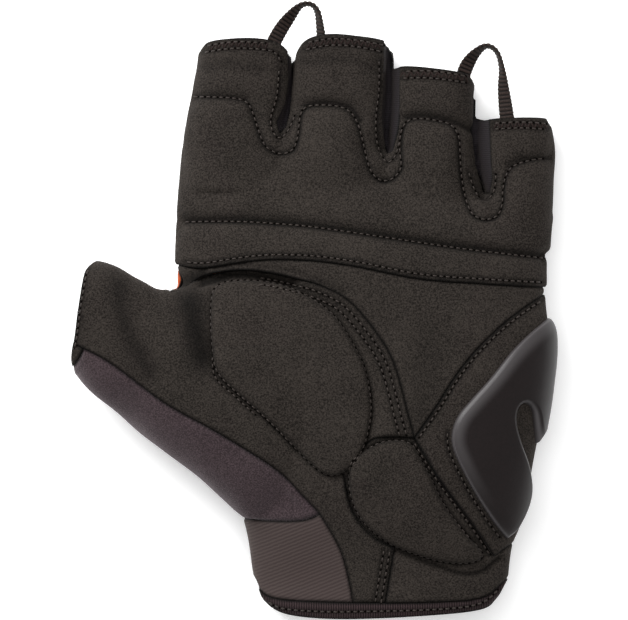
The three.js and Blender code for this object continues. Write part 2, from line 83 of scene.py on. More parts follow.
# Driving sizes, in millimetres, as in the part's source
PALM_WIDTH = 105.0
GLOVE_LENGTH = 166.0
PALM_DEPTH = 27.0
FINGER_DEPTH = 18.0
THUMB_DEPTH = 22.0
THUMB_LIFT = 7.0
WALL = 1.2
PRESSED = 1.2
ROUNDNESS = 2.35
WIDEST_AT = 0.45
REACH = 2 * GLOVE_LENGTH  # far past the mitt, where nothing bounds a region
SKY = 100.0  # a height above all of it, from which the cloth is looked for

VOXEL = 0.62  # spacing of the skin's mesh
ON_LINE = 1e-4  # a point this near a cut counts as inside it
GROWN_BACK = 1.02  # how much further the skin is pushed out than it was pulled in
SPREADINGS = 4000  # more than enough rounds for a label to reach all of a skin
SIDE_SEAM_TILT = -0.42  # how far the surface leans under at the side seam, as the normal's z
LEAN_ROUNDS = 14  # how many times that lean is evened out before the cloth is cut along it


def cubic(start: Points, end: Points, leaving: Points, arriving: Points, share: Points) -> Points:
    """A cubic between two rows of values.

    Args:
        start: The values at share 0.
        end: The values at share 1.
        leaving: The slope at the start.
        arriving: The slope at the end.
        share: Where to read it, one share a row.

    Returns:
        The values, one row a share.
    """
    change = end - start
    return (
        start
        + leaving * share
        + (3 * change - 2 * leaving - arriving) * share**2
        + (leaving + arriving - 2 * change) * share**3
    )


def reach_along(line: Points) -> Points:
    """How far along a line each of its points lies."""
    return np.concatenate([[0], np.cumsum(np.linalg.norm(np.diff(line, axis=0), axis=1))])


def unit(vectors: Points) -> Points:
    """Rows of vectors, each brought to length 1."""
    return vectors / np.maximum(np.linalg.norm(vectors, axis=1), 1e-12)[:, None]


def leftward(along: Points) -> Points:
    """The direction to the left of each direction in the plane."""
    return np.column_stack([-along[:, 1], along[:, 0]])


def smooth_line(points: Points, steps: int = 8, closed: bool = False) -> Points:
    """Draws a smooth curve through chosen points.

    Args:
        points: The chosen points, one a row.
        steps: How many points the curve gets for each span.
        closed: Whether the last point joins the first.

    Returns:
        The points of the curve.
    """
    count = len(points)
    spans = count if closed else count - 1
    share = np.linspace(0, 1, steps, endpoint=False)[:, None]
    curve = []
    for i in range(spans):
        if closed:
            a, b, c, d = (points[(i + k) % count] for k in (-1, 0, 1, 2))
        else:
            a, b, c, d = (points[min(max(i + k, 0), count - 1)] for k in (-1, 0, 1, 2))
        curve.append(cubic(b, c, (c - a) / 2, (d - b) / 2, share))
    if not closed:
        curve.append(points[-1:])
    return np.vstack(curve)


def place(shares: Iterable[Share]) -> Points:
    """Turns shares of the palm's width and the mitt's length into millimetres."""
    return np.array(list(shares), float) * (PALM_WIDTH, GLOVE_LENGTH)


def distance_to(points: Points, line: Points, closed: bool = False) -> Points:
    """The distance of each point from a line in the plane.

    Args:
        points: Points whose first two columns are x and y.
        line: The line's corners.
        closed: Whether the line's last corner joins its first.

    Returns:
        One distance a point.
    """
    nearest = np.full(len(points), np.inf)
    corners = np.vstack([line, line[:1]]) if closed else line
    for a, b in zip(corners[:-1], corners[1:]):
        span = b - a
        reach = float(span @ span)
        if reach < 1e-12:
            continue
        offset = points[:, :2] - a
        share = np.clip((offset @ span) / reach, 0, 1)[:, None]
        gap = offset - share * span
        nearest = np.minimum(nearest, np.einsum("ij,ij->i", gap, gap))
    return np.sqrt(nearest)


def is_inside(points: Points, outline: Points) -> Points:
    """Tells for each point whether it lies inside a closed outline.

    Args:
        points: Points whose first two columns are x and y.
        outline: The outline's corners.

    Returns:
        True or false for each point.
    """
    x, y = points[:, 0], points[:, 1]
    inside = np.zeros(len(points), bool)
    for (ax, ay), (bx, by) in zip(outline, np.roll(outline, -1, axis=0)):
        if ay == by:
            continue
        crosses = (ay > y) != (by > y)
        inside ^= crosses & (x < ax + (y - ay) * (bx - ax) / (by - ay))
    return inside


def depth_inside(points: Points, outline: Points) -> Points:
    """How deep each point lies inside a closed outline, negative outside it."""
    distance = distance_to(points, outline, closed=True)
    return np.where(is_inside(points, outline), distance, -distance)


def falloff(distance: Points, width: float) -> Points:
    """A bell that is 1 on a line and fades over so many millimetres."""
    return np.exp(-((distance / width) ** 2))


def ease(value: Points, low: float, high: float) -> Points:
    """A smooth step from 0 at low to 1 at high."""
    share = np.clip((value - low) / (high - low), 0, 1)
    return share * share * (3 - 2 * share)


@dataclass
class Skin:
    """An open or closed sheet of triangles, in millimetres."""

    points: Points
    normals: Points
    faces: Points
    marks: dict[str, Points] = field(default_factory=dict)

    def sides(self) -> Points:
        """The directed sides of every face, three rows a face."""
        return self.faces[:, [[0, 1], [1, 2], [2, 0]]].reshape(-1, 2)

    def edges(self) -> Points:
        """Each edge once."""
        return np.unique(np.sort(self.sides(), axis=1), axis=0)

    def grown(self, pairs: Points, share: Points, faces: Points) -> "Skin":
        """Adds a point on each of some edges.

        Args:
            pairs: The edges' two points.
            share: How far along its edge each new point lies.
            faces: The faces, with the new points numbered after the old ones.

        Returns:
            The skin with the new points and faces.
        """

        def between(values: Points) -> Points:
            """The values, with those of the new points after them."""
            new = values[pairs[:, 0]] * (1 - share) + values[pairs[:, 1]] * share
            return np.vstack([values, new])

        marks = {name: between(mark[:, None])[:, 0] for name, mark in self.marks.items()}
        return Skin(between(self.points), between(self.normals), faces, marks)

    def clipped(self, depth: Points) -> "Skin":
        """Keeps the part of the sheet where a depth is positive.

        Args:
            depth: One value a point.

        Returns:
            The kept part, cut cleanly along the line where the depth is zero.
        """
        depth = np.where(np.abs(depth) < ON_LINE, ON_LINE, depth)
        kept = depth[self.faces] > 0
        number = kept.sum(axis=1)
        whole = self.faces[number == 3]
        pieces, new_pairs = [whole], []
        start = len(self.points)
        for inside_count in (1, 2):
            mixed = self.faces[number == inside_count]
            odd = kept[number == inside_count] == (inside_count == 1)
            first = odd.argmax(axis=1)
            rows = np.arange(len(mixed))
            a, b, c = (mixed[rows, (first + k) % 3] for k in range(3))
            offset = start + sum(len(pair) for pair in new_pairs)
            ab = offset + rows
            ac = offset + len(rows) + rows
            new_pairs += [np.stack([a, b], 1), np.stack([a, c], 1)]
            if inside_count == 1:
                pieces.append(np.stack([a, ab, ac], 1))
            else:
                pieces += [np.stack([ab, b, c], 1), np.stack([ab, c, ac], 1)]
        pairs = np.sort(np.vstack(new_pairs), axis=1) if new_pairs else np.zeros((0, 2), int)
        unique, back = np.unique(pairs, axis=0, return_inverse=True)
        back = back.reshape(-1)
        ends = depth[unique]
        share = (ends[:, 0] / (ends[:, 0] - ends[:, 1]))[:, None]
        renamed = np.concatenate([np.arange(start), start + back])
        return self.grown(unique, share, renamed[np.vstack(pieces)]).compacted()

    def compacted(self) -> "Skin":
        """Drops the points that no face uses, and faces without area.

        Returns:
            The smaller skin.
        """
        a, b, c = self.faces.T
        faces = self.faces[(a != b) & (b != c) & (c != a)]
        used, back = np.unique(faces, return_inverse=True)
        marks = {name: mark[used] for name, mark in self.marks.items()}
        return Skin(self.points[used], self.normals[used], back.reshape(-1, 3), marks)

    def finer(self) -> "Skin":
        """Splits every triangle into four.

        Returns:
            The finer skin.
        """
        unique, back = np.unique(np.sort(self.sides(), axis=1), axis=0, return_inverse=True)
        ab, bc, ca = (back.reshape(-1, 3) + len(self.points)).T
        a, b, c = self.faces.T
        corners = ((a, ab, ca), (ab, b, bc), (ca, bc, c), (ab, bc, ca))
        faces = np.vstack([np.stack(three, 1) for three in corners])
        return self.grown(unique, np.full((len(unique), 1), 0.5), faces)

    def largest(self, share: float = 1.0) -> "Skin":
        """Keeps the largest connected part, without the crumbs that a cut leaves.

        Args:
            share: Other parts stay too where they have this share of its faces.

        Returns:
            What is kept.
        """
        label = np.arange(len(self.points))
        for _ in range(SPREADINGS):
            low = label[self.faces].min(axis=1)
            before = label.copy()
            for k in range(3):
                np.minimum.at(label, self.faces[:, k], low)
            label = label[label]
            if np.array_equal(label, before):
                break
        owner = label[self.faces[:, 0]]
        names, counts = np.unique(owner, return_counts=True)
        kept = np.isin(owner, names[counts >= share * counts.max()])
        return Skin(self.points, self.normals, self.faces[kept], self.marks).compacted()

    def smoothed(self, rounds: int, strength: float = 0.5) -> "Skin":
        """Evens out the points without shrinking the form.

        Args:
            rounds: How many times the points are pulled in and pushed out again.
            strength: How far each time, as a share of the way to the neighbours' mean.

        Returns:
            The smoother skin.
        """
        edges = self.edges()
        points = self.points.copy()
        for i in range(2 * rounds):
            push = strength if i % 2 == 0 else -strength * GROWN_BACK
            points += push * (neighbour_mean(points, edges) - points)
        return Skin(points, normals_of(points, self.faces), self.faces, self.marks)

    def border(self) -> Points:
        """The directed edges that only one face uses.

        Returns:
            One edge a row.
        """
        edges = self.sides()
        key = np.sort(edges, axis=1) @ np.array([len(self.points), 1])
        _, first, counts = np.unique(key, return_index=True, return_counts=True)
        return edges[first[counts == 1]]

    def thickened(self, outer: Points, inner: Points) -> "Skin":
        """Makes a closed shell from two offsets of the sheet.

        Args:
            outer: How far the outer face stands off the sheet, one value a point.
            inner: The same for the inner face.

        Returns:
            The closed shell.
        """
        count = len(self.points)
        points = np.vstack(
            [self.points + self.normals * outer[:, None], self.points + self.normals * inner[:, None]]
        )
        a, b = self.border().T
        sides = np.vstack([np.stack([b, a, a + count], 1), np.stack([b, a + count, b + count], 1)])
        faces = np.vstack([self.faces, self.faces[:, ::-1] + count, sides])
        marks = {name: np.concatenate([mark, mark]) for name, mark in self.marks.items()}
        return Skin(points, normals_of(points, faces), faces, marks)


def neighbour_mean(values: Points, edges: Points) -> Points:
    """The mean of the values at each point's neighbours.

    Args:
        values: One row a point.
        edges: The edges, each once.

    Returns:
        One row a point.
    """
    count = len(values)
    a, b = edges.T
    degree = np.bincount(a, minlength=count) + np.bincount(b, minlength=count)
    columns = [
        np.bincount(a, values[b, k], count) + np.bincount(b, values[a, k], count)
        for k in range(values.shape[1])
    ]
    return np.stack(columns, 1) / np.maximum(degree, 1)[:, None]


def normals_of(points: Points, faces: Points) -> Points:
    """The smooth unit normal at each point.

    Args:
        points: One point a row.
        faces: Triangles, as rows of point numbers.

    Returns:
        One normal a point.
    """
    a, b, c = (points[faces[:, k]] for k in range(3))
    flat = np.cross(b - a, c - a)
    count = len(points)
    totals = [sum(np.bincount(faces[:, k], flat[:, axis], count) for k in range(3)) for axis in range(3)]
    return unit(np.stack(totals, 1))


def ring_faces(rings: int, count: int) -> Points:
    """The four-sided faces between rings of points, one ring after the other.

    Args:
        rings: How many rings there are.
        count: How many points a ring has.

    Returns:
        One face a row.
    """
    around = np.arange(count)
    ahead = (around + 1) % count
    first = count * np.arange(rings - 1)[:, None]
    corners = (first + around, first + ahead, first + count + ahead, first + count + around)
    return np.stack(corners, 2).reshape(-1, 4)


def closed_tube(rings: Sequence[Points]) -> tuple[Points, list]:
    """Closes a row of rings into one skin.

    Args:
        rings: The rings, each with as many points.

    Returns:
        Points and faces.
    """
    count, total = len(rings[0]), len(rings) * len(rings[0])
    faces = ring_faces(len(rings), count).tolist()
    faces.append(list(range(count))[::-1])
    faces.append(list(range(total - count, total)))
    return np.vstack(rings), faces


def mesh_object(name: str, points: Points, faces: Sequence) -> bpy.types.Object:
    """Makes a linked object from points in millimetres.

    Args:
        name: The piece's name.
        points: One point a row.
        faces: The faces, as rows of point numbers.

    Returns:
        The new object.
    """
    mesh = bpy.data.meshes.new(name)
    mesh.from_pydata((np.asarray(points) * MM).tolist(), [], [list(face) for face in faces])
    mesh.validate()
    mesh.shade_smooth()
    piece = bpy.data.objects.new(name, mesh)
    bpy.context.scene.collection.objects.link(piece)
    return piece


def add_mark(piece: bpy.types.Object, name: str, values: Points) -> None:
    """Writes one value a point to a piece, for its material to read."""
    layer = piece.data.attributes.new(name, "FLOAT", "POINT")
    layer.data.foreach_set("value", values.astype(np.float32))


def skin_object(name: str, skin: Skin) -> bpy.types.Object:
    """Makes an object from a skin, flat where it meets the floor.

    Args:
        name: The piece's name.
        skin: The skin, whose marks the piece keeps.

    Returns:
        The new object.
    """
    skin.points[:, 2] = np.maximum(skin.points[:, 2], 0)
    piece = mesh_object(name, skin.points, skin.faces)
    for mark, values in skin.marks.items():
        add_mark(piece, mark, values)
    return piece


# Shapes of the hand's form. x is a share of PALM_WIDTH and y of GLOVE_LENGTH, measured from the
# middle of the palm, and a section runs from its thumb side to its outer side.
@dataclass(frozen=True)
class Section:
    """One section of the hand's form, with its height above the floor in millimetres."""

    start: Share
    end: Share
    bottom: float
    top: float

    def row(self) -> Points:
        """The section as one row: both ends, bottom and top, in millimetres."""
        ends = place([self.start, self.end]).reshape(-1)
        return np.array([*ends, self.bottom, self.top])


def palm_section(start: Share, end: Share, bottom: float, top: float) -> Section:
    """A section of the palm, with its heights as shares of the palm's depth."""
    return Section(start, end, bottom * PALM_DEPTH - PRESSED, top * PALM_DEPTH)


def finger_section(y: float, x1: float, x2: float, bottom: float, top: float) -> Section:
    """A section across a finger stall, with its heights as shares of the finger's depth."""
    return Section((x1, y), (x2, y), bottom * FINGER_DEPTH - PRESSED, top * FINGER_DEPTH)


def thumb_section(start: Share, end: Share, lift: float, depth: float) -> Section:
    """A section of the thumb, raised by a share of its lift."""
    low = lift * THUMB_LIFT
    return Section(start, end, low, low + depth * THUMB_DEPTH)


PALM = (
    palm_section((-0.149, -0.575), (0.527, -0.567), 0, 0.8),
    palm_section((-0.16, -0.477), (0.529, -0.472), 0, 0.8),
    palm_section((-0.174, -0.412), (0.537, -0.415), 0, 0.84),
    palm_section((-0.193, -0.352), (0.567, -0.357), 0, 0.92),
    palm_section((-0.228, -0.249), (0.6, -0.249), 0, 1.0),
    palm_section((-0.277, -0.146), (0.63, -0.137), 0, 1.0),
    palm_section((-0.328, -0.043), (0.641, -0.06), 0, 0.97),
    palm_section((-0.369, 0.034), (0.63, 0.024), 0, 0.93),
    palm_section((-0.369, 0.082), (0.63, 0.072), 0, 0.9),
    palm_section((-0.366, 0.144), (0.641, 0.12), 0, 0.84),
    palm_section((-0.356, 0.24), (0.646, 0.151), 0, 0.73),
    palm_section((-0.35, 0.278), (0.649, 0.161), 0.05, 0.66),
)
FINGERS = {
    "index": (
        finger_section(0.498, -0.29, -0.038, 0.14, 0.98),
        finger_section(0.361, -0.327, -0.066, 0.07, 1.0),
        finger_section(0.34, -0.334, -0.071, 0.06, 1.01),
        finger_section(0.319, -0.339, -0.076, 0.05, 1.02),
        finger_section(0.295, -0.345, -0.057, 0.03, 1.04),
        finger_section(0.206, -0.353, -0.008, 0.03, 1.04),
    ),
    "middle": (
        finger_section(0.506, -0.035, 0.205, 0.15, 1.0),
        finger_section(0.361, -0.058, 0.202, 0.08, 1.03),
        finger_section(0.319, -0.079, 0.198, 0.05, 1.05),
        finger_section(0.275, -0.128, 0.195, 0.03, 1.07),
        finger_section(0.251, -0.138, 0.231, 0.02, 1.08),
        finger_section(0.18, -0.144, 0.25, 0.02, 1.08),
    ),
    "ring": (
        finger_section(0.455, 0.212, 0.434, 0.12, 0.96),
        finger_section(0.275, 0.202, 0.437, 0.05, 1.02),
        finger_section(0.251, 0.171, 0.442, 0.03, 1.04),
        finger_section(0.196, 0.149, 0.461, 0.02, 1.05),
        finger_section(0.168, 0.144, 0.499, 0.02, 1.05),
        finger_section(0.12, 0.144, 0.508, 0.02, 1.05),
    ),
    "little": (
        finger_section(0.369, 0.44, 0.624, 0.1, 0.86),
        finger_section(0.309, 0.441, 0.646, 0.08, 0.88),
        finger_section(0.268, 0.445, 0.654, 0.06, 0.9),
        finger_section(0.227, 0.456, 0.651, 0.04, 0.93),
        finger_section(0.196, 0.467, 0.649, 0.03, 0.95),
        finger_section(0.168, 0.432, 0.646, 0.02, 0.97),
        finger_section(0.103, 0.413, 0.641, 0.02, 0.97),
    ),
}
GAPS = ("index", "middle", "ring")  # the fingers with another one to their right
THUMB = (
    thumb_section((-0.692, 0.082), (-0.714, -0.069), 1.1, 0.84),
    thumb_section((-0.594, 0.082), (-0.654, -0.101), 1.0, 0.88),
    thumb_section((-0.537, 0.074), (-0.578, -0.149), 0.9, 0.93),
    thumb_section((-0.47, 0.05), (-0.47, -0.208), 0.75, 1.0),
    thumb_section((-0.415, 0.034), (-0.35, -0.268), 0.55, 1.08),
    thumb_section((-0.366, 0.039), (-0.239, -0.323), 0.35, 1.17),
    thumb_section((-0.266, 0.076), (-0.157, -0.364), 0.15, 1.23),
    thumb_section((-0.157, 0.089), (-0.062, -0.361), 0.1, 1.2),
    thumb_section((-0.035, 0.076), (0.046, -0.309), 0.1, 1.12),
    thumb_section((0.087, 0.009), (0.106, -0.24), 0.1, 0.9),
)

# Lines of the pattern, as shares: the hems, and the seams that bound the panels
EDGES: dict[str, tuple[Share, ...]] = {
    "index_hem": ((-0.347, 0.426), (-0.307, 0.443), (-0.282, 0.46), (-0.198, 0.466), (-0.128, 0.464),
                  (-0.087, 0.455), (-0.055, 0.433)),
    "middle_hem": ((-0.055, 0.419), (-0.033, 0.453), (-0.005, 0.467), (0.046, 0.473), (0.114, 0.47),
                   (0.193, 0.462), (0.21, 0.443)),
    "ring_hem": ((0.211, 0.414), (0.263, 0.418), (0.388, 0.409), (0.426, 0.4), (0.438, 0.378)),
    "little_hem": ((0.439, 0.331), (0.459, 0.326), (0.508, 0.329), (0.616, 0.33), (0.638, 0.323),
                   (0.665, 0.283)),
    "thumb_hem": ((-0.556, 0.103), (-0.592, 0.084), (-0.611, 0.072), (-0.619, 0.058), (-0.627, 0.027),
                  (-0.635, -0.007), (-0.643, -0.045), (-0.651, -0.069), (-0.654, -0.089),
                  (-0.646, -0.11), (-0.624, -0.134)),
    "cuff_hem": ((-0.198, -0.429), (-0.157, -0.467), (-0.138, -0.496), (-0.095, -0.517),
                 (-0.027, -0.526), (0.087, -0.529), (0.263, -0.525), (0.448, -0.515), (0.499, -0.496),
                 (0.529, -0.467), (0.575, -0.421)),
    "overlay": ((-0.415, 0.089), (-0.361, 0.077), (-0.299, 0.072), (-0.198, 0.081), (-0.111, 0.086),
                (0, 0.084), (0.117, 0.074), (0.288, 0.053), (0.453, 0.045), (0.562, 0.041),
                (0.698, 0.038)),
    "thumb_arc": ((-0.415, 0.046), (-0.38, 0.034), (-0.35, 0.042), (-0.32, 0.055), (-0.28, 0.063),
                  (-0.193, 0.069), (-0.114, 0.064), (-0.046, 0.054), (0.024, 0.041), (0.098, 0.015),
                  (0.168, -0.036), (0.214, -0.084), (0.239, -0.134), (0.255, -0.175), (0.274, -0.218)),
    "outer_edge": ((0.698, 0.045), (0.63, 0.026), (0.535, -0.014), (0.448, -0.064), (0.385, -0.113),
                   (0.331, -0.167), (0.274, -0.218)),
    "heel_top": ((0.274, -0.218), (0.176, -0.218), (0.128, -0.239), (0.081, -0.278)),
    "heel_outer": ((0.274, -0.218), (0.345, -0.292), (0.426, -0.361), (0.491, -0.422)),
    "heel_side": ((0.491, -0.422), (0.54, -0.402), (0.616, -0.374)),
    "heel_inner": ((0.081, -0.278), (0.103, -0.34), (0.155, -0.385), (0.22, -0.409)),
    "heel_seam": ((0.22, -0.409), (0.209, -0.452), (0.195, -0.505)),
    "terry_seam": ((-0.719, -0.034), (-0.649, -0.057), (-0.551, -0.089), (-0.402, -0.158),
                   (-0.252, -0.211), (-0.103, -0.271), (-0.027, -0.318), (0.019, -0.349)),
    "terry_end": ((0.019, -0.349), (-0.035, -0.361), (-0.157, -0.361), (-0.247, -0.352)),
    "stretch_edge": ((0.019, -0.349), (0.073, -0.409), (0.098, -0.464), (0.109, -0.505)),
    "binding_top": ((-0.212, -0.45), (-0.155, -0.477), (-0.095, -0.496), (0.109, -0.501), (0.345, -0.5),
                    (0.459, -0.493), (0.518, -0.467), (0.575, -0.433)),
    "thumb_back": ((-0.429, 0.058), (-0.361, 0.017), (-0.293, -0.086), (-0.22, -0.206),
                   (-0.138, -0.309), (-0.035, -0.364)),
    "gusset": ((-0.442, 0.12), (-0.356, 0.11), (-0.266, 0.082), (-0.22, 0.017), (-0.231, -0.052),
               (-0.312, -0.065)),
}
# The two suede pads, with the panel that each lies on
SUEDE_PADS = {"thenar_pad": "thumb_panel", "heel_pad": "heel_panel"}
# Closed outlines of the suede pads and of the gaps between the fingers
OUTLINES: dict[str, tuple[Share, ...]] = {
    "thenar_pad": ((-0.274, 0.014), (-0.266, 0.036), (-0.233, 0.048), (-0.166, 0.05), (-0.087, 0.043),
                   (-0.011, 0.022), (0.057, -0.01), (0.103, -0.053), (0.138, -0.098), (0.155, -0.151),
                   (0.152, -0.196), (0.13, -0.242), (0.092, -0.273), (0.046, -0.282), (-0.003, -0.264),
                   (-0.114, -0.192), (-0.225, -0.129), (-0.261, -0.1), (-0.271, -0.062),
                   (-0.275, -0.021)),
    "heel_pad": ((0.098, -0.278), (0.111, -0.254), (0.176, -0.228), (0.236, -0.223), (0.271, -0.233),
                 (0.293, -0.258), (0.315, -0.282), (0.334, -0.309), (0.358, -0.337), (0.385, -0.361),
                 (0.415, -0.385), (0.445, -0.405), (0.461, -0.421), (0.44, -0.431), (0.394, -0.434),
                 (0.337, -0.429), (0.274, -0.417), (0.209, -0.4), (0.152, -0.373), (0.117, -0.342),
                 (0.1, -0.309)),
    "index_gap": ((-0.071, 0.489), (-0.069, 0.395), (-0.079, 0.352), (-0.1, 0.323), (-0.092, 0.302),
                  (-0.073, 0.314), (-0.062, 0.34), (-0.053, 0.374), (-0.052, 0.489)),
    "middle_gap": ((0.193, 0.489), (0.19, 0.378), (0.185, 0.33), (0.19, 0.295), (0.201, 0.268),
                   (0.214, 0.273), (0.228, 0.309), (0.236, 0.352), (0.236, 0.489)),
    "ring_gap": ((0.436, 0.429), (0.432, 0.335), (0.434, 0.278), (0.44, 0.249), (0.453, 0.227),
                 (0.467, 0.201), (0.48, 0.201), (0.486, 0.227), (0.483, 0.275), (0.479, 0.343),
                 (0.478, 0.429)),
}
# The moulded pad's outline, in stretches that meet at its tips
MOULDED_STRETCHES: tuple[tuple[Share, ...], ...] = (
    ((0.643, -0.01), (0.589, -0.038), (0.535, -0.072), (0.48, -0.115), (0.426, -0.153), (0.391, -0.18),
     (0.375, -0.206), (0.375, -0.232), (0.394, -0.263), (0.432, -0.309), (0.48, -0.357),
     (0.521, -0.391)),
    ((0.521, -0.391), (0.548, -0.373), (0.573, -0.34), (0.584, -0.306), (0.578, -0.266), (0.556, -0.22),
     (0.546, -0.187), (0.554, -0.165), (0.573, -0.16), (0.589, -0.173), (0.596, -0.203), (0.6, -0.23)),
    ((0.6, -0.23), (0.63, -0.197), (0.66, -0.155), (0.692, -0.086), (0.687, -0.034), (0.643, -0.01)),
)


class Sewing(Enum):
    """How a row of stitches pulls the cloth down: a sharp groove and a broad hollow, in millimetres."""

    QUILTED = (0.55, 1.0)
    TOPSTITCHED = (0.32, 0.25)
    HEMMED = (0.22, 0.0)


@dataclass(frozen=True)
class StitchRow:
    """A row of stitches, through a few chosen points or a fixed way beside a line of the pattern."""

    sewing: Sewing
    chosen: tuple[Share, ...] = ()
    beside: str = ""
    away: float = 0.0
    span: tuple[float, float] = (0.0, 1.0)
    closed: bool = False

    def line(self, pattern: "Pattern") -> Points:
        """The row's smooth line.

        Args:
            pattern: The mitt's pattern, whose lines it may run beside.

        Returns:
            The line's points in the frame, in millimetres.
        """
        if not self.beside:
            return smooth_line(place(self.chosen), 8, self.closed) + pattern.shift
        line = pattern.edge[self.beside]
        first, last = (round(share * (len(line) - 1)) for share in self.span)
        moved = line + self.away * leftward(unit(np.gradient(line, axis=0)))
        return moved[first : last + 1]


def rows(sewing: Sewing, *lines: tuple[Share, ...]) -> tuple[StitchRow, ...]:
    """Several rows that are sewn alike."""
    return tuple(StitchRow(sewing, chosen) for chosen in lines)


STITCHES: dict[str, tuple[StitchRow, ...]] = {
    "finger_panel": (
        *rows(
            Sewing.QUILTED,
            ((-0.328, 0.367), (-0.239, 0.364), (-0.198, 0.361), (-0.176, 0.354), (-0.163, 0.338),
             (-0.147, 0.307), (-0.13, 0.282), (-0.103, 0.27), (-0.079, 0.268), (-0.054, 0.275),
             (-0.041, 0.297), (-0.034, 0.333), (-0.019, 0.348), (0.019, 0.351), (0.065, 0.349),
             (0.1, 0.34), (0.122, 0.319), (0.136, 0.287), (0.152, 0.246), (0.171, 0.227),
             (0.195, 0.221), (0.22, 0.227), (0.239, 0.244), (0.236, 0.275), (0.239, 0.304),
             (0.255, 0.323), (0.29, 0.328), (0.339, 0.324), (0.377, 0.316), (0.396, 0.297),
             (0.399, 0.271), (0.402, 0.237), (0.41, 0.203), (0.429, 0.167), (0.461, 0.155),
             (0.497, 0.16), (0.513, 0.179), (0.516, 0.209), (0.527, 0.235), (0.551, 0.249),
             (0.6, 0.258), (0.643, 0.261)),
            ((-0.35, 0.151), (-0.198, 0.151), (-0.035, 0.144), (0.087, 0.134), (0.236, 0.12),
             (0.399, 0.105), (0.562, 0.093), (0.646, 0.088)),
        ),
        StitchRow(Sewing.TOPSTITCHED, beside="overlay", away=1.3, span=(0.12, 0.95)),
        *rows(
            Sewing.HEMMED,
            ((-0.29, 0.453), (-0.212, 0.459), (-0.128, 0.457)),
            ((-0.296, 0.442), (-0.212, 0.448), (-0.138, 0.446), (-0.103, 0.441), (-0.087, 0.426)),
            ((-0.092, 0.412), (-0.098, 0.367), (-0.114, 0.33), (-0.111, 0.309), (-0.092, 0.294),
             (-0.068, 0.307), (-0.049, 0.333)),
            ((-0.016, 0.458), (0.046, 0.464), (0.114, 0.462), (0.193, 0.454)),
            ((-0.022, 0.446), (0.046, 0.453), (0.114, 0.451), (0.185, 0.443)),
            ((0.179, 0.429), (0.179, 0.378), (0.171, 0.33), (0.174, 0.288), (0.198, 0.254),
             (0.225, 0.266), (0.242, 0.312)),
            ((0.231, 0.408), (0.318, 0.409), (0.415, 0.401)),
            ((0.242, 0.397), (0.318, 0.397), (0.415, 0.39)),
            ((0.491, 0.32), (0.562, 0.322), (0.635, 0.32)),
            ((0.491, 0.31), (0.562, 0.312), (0.641, 0.31)),
            ((0.423, 0.237), (0.437, 0.209), (0.464, 0.185), (0.491, 0.203), (0.497, 0.233)),
        ),
    ),
    "thumb_panel": (
        StitchRow(Sewing.TOPSTITCHED, beside="thumb_arc", away=-2.0, span=(0.4, 0.985)),
        StitchRow(Sewing.TOPSTITCHED, beside="thumb_arc", away=-3.9, span=(0.4, 0.985)),
        StitchRow(Sewing.HEMMED, ((-0.271, -0.079), (-0.263, -0.115), (-0.209, -0.148),
                                  (-0.155, -0.179))),
        StitchRow(Sewing.HEMMED, beside="thumb_hem", away=0.75, span=(0.2, 0.68)),
        StitchRow(Sewing.TOPSTITCHED, beside="heel_seam", away=-1.2, span=(0.05, 0.97)),
        StitchRow(Sewing.TOPSTITCHED, beside="heel_seam", away=-2.9, span=(0.05, 0.97)),
    ),
    "side_panel": (
        StitchRow(Sewing.TOPSTITCHED, beside="outer_edge", away=1.0, span=(0.16, 0.97)),
        StitchRow(Sewing.TOPSTITCHED, beside="moulded_edge", away=-1.1, span=(0.56, 0.98)),
    ),
    "heel_panel": (
        StitchRow(Sewing.TOPSTITCHED, beside="heel_outer", away=-0.8, span=(0.06, 0.95)),
    ),
    "cuff_binding": rows(
        Sewing.HEMMED,
        ((-0.122, -0.501), (-0.079, -0.512), (0.019, -0.516), (0.109, -0.516), (0.345, -0.512),
         (0.453, -0.503), (0.502, -0.481)),
    ),
    "thenar_pad": (StitchRow(Sewing.QUILTED, OUTLINES["thenar_pad"], closed=True),),
    "heel_pad": (StitchRow(Sewing.QUILTED, OUTLINES["heel_pad"], closed=True),),
}
# The two rows of each hem that the cover stitch crosses between
COVERED_HEMS: dict[str, tuple[tuple[Share, ...], tuple[Share, ...]]] = {
    "index_hem": (
        ((-0.296, 0.443), (-0.212, 0.45), (-0.122, 0.446)),
        ((-0.29, 0.454), (-0.212, 0.461), (-0.122, 0.458)),
    ),
    "middle_hem": (
        ((-0.019, 0.446), (0.046, 0.453), (0.114, 0.452), (0.193, 0.445)),
        ((-0.014, 0.458), (0.046, 0.465), (0.114, 0.463), (0.193, 0.455)),
    ),
    "ring_hem": (
        ((0.236, 0.397), (0.318, 0.398), (0.421, 0.39)),
        ((0.236, 0.409), (0.318, 0.409), (0.421, 0.402)),
    ),
    "little_hem": (
        ((0.491, 0.31), (0.562, 0.312), (0.638, 0.31)),
        ((0.491, 0.321), (0.562, 0.323), (0.635, 0.321)),
    ),
}
COVER_PITCH = 0.95  # how far apart the cover stitch's crossings are, in millimetres


@dataclass(frozen=True)
class Fold:
    """A fold or hollow of the cloth along a line, or a swelling where its depth is negative."""

    depth: float
    width: float
    chosen: tuple[Share, ...]


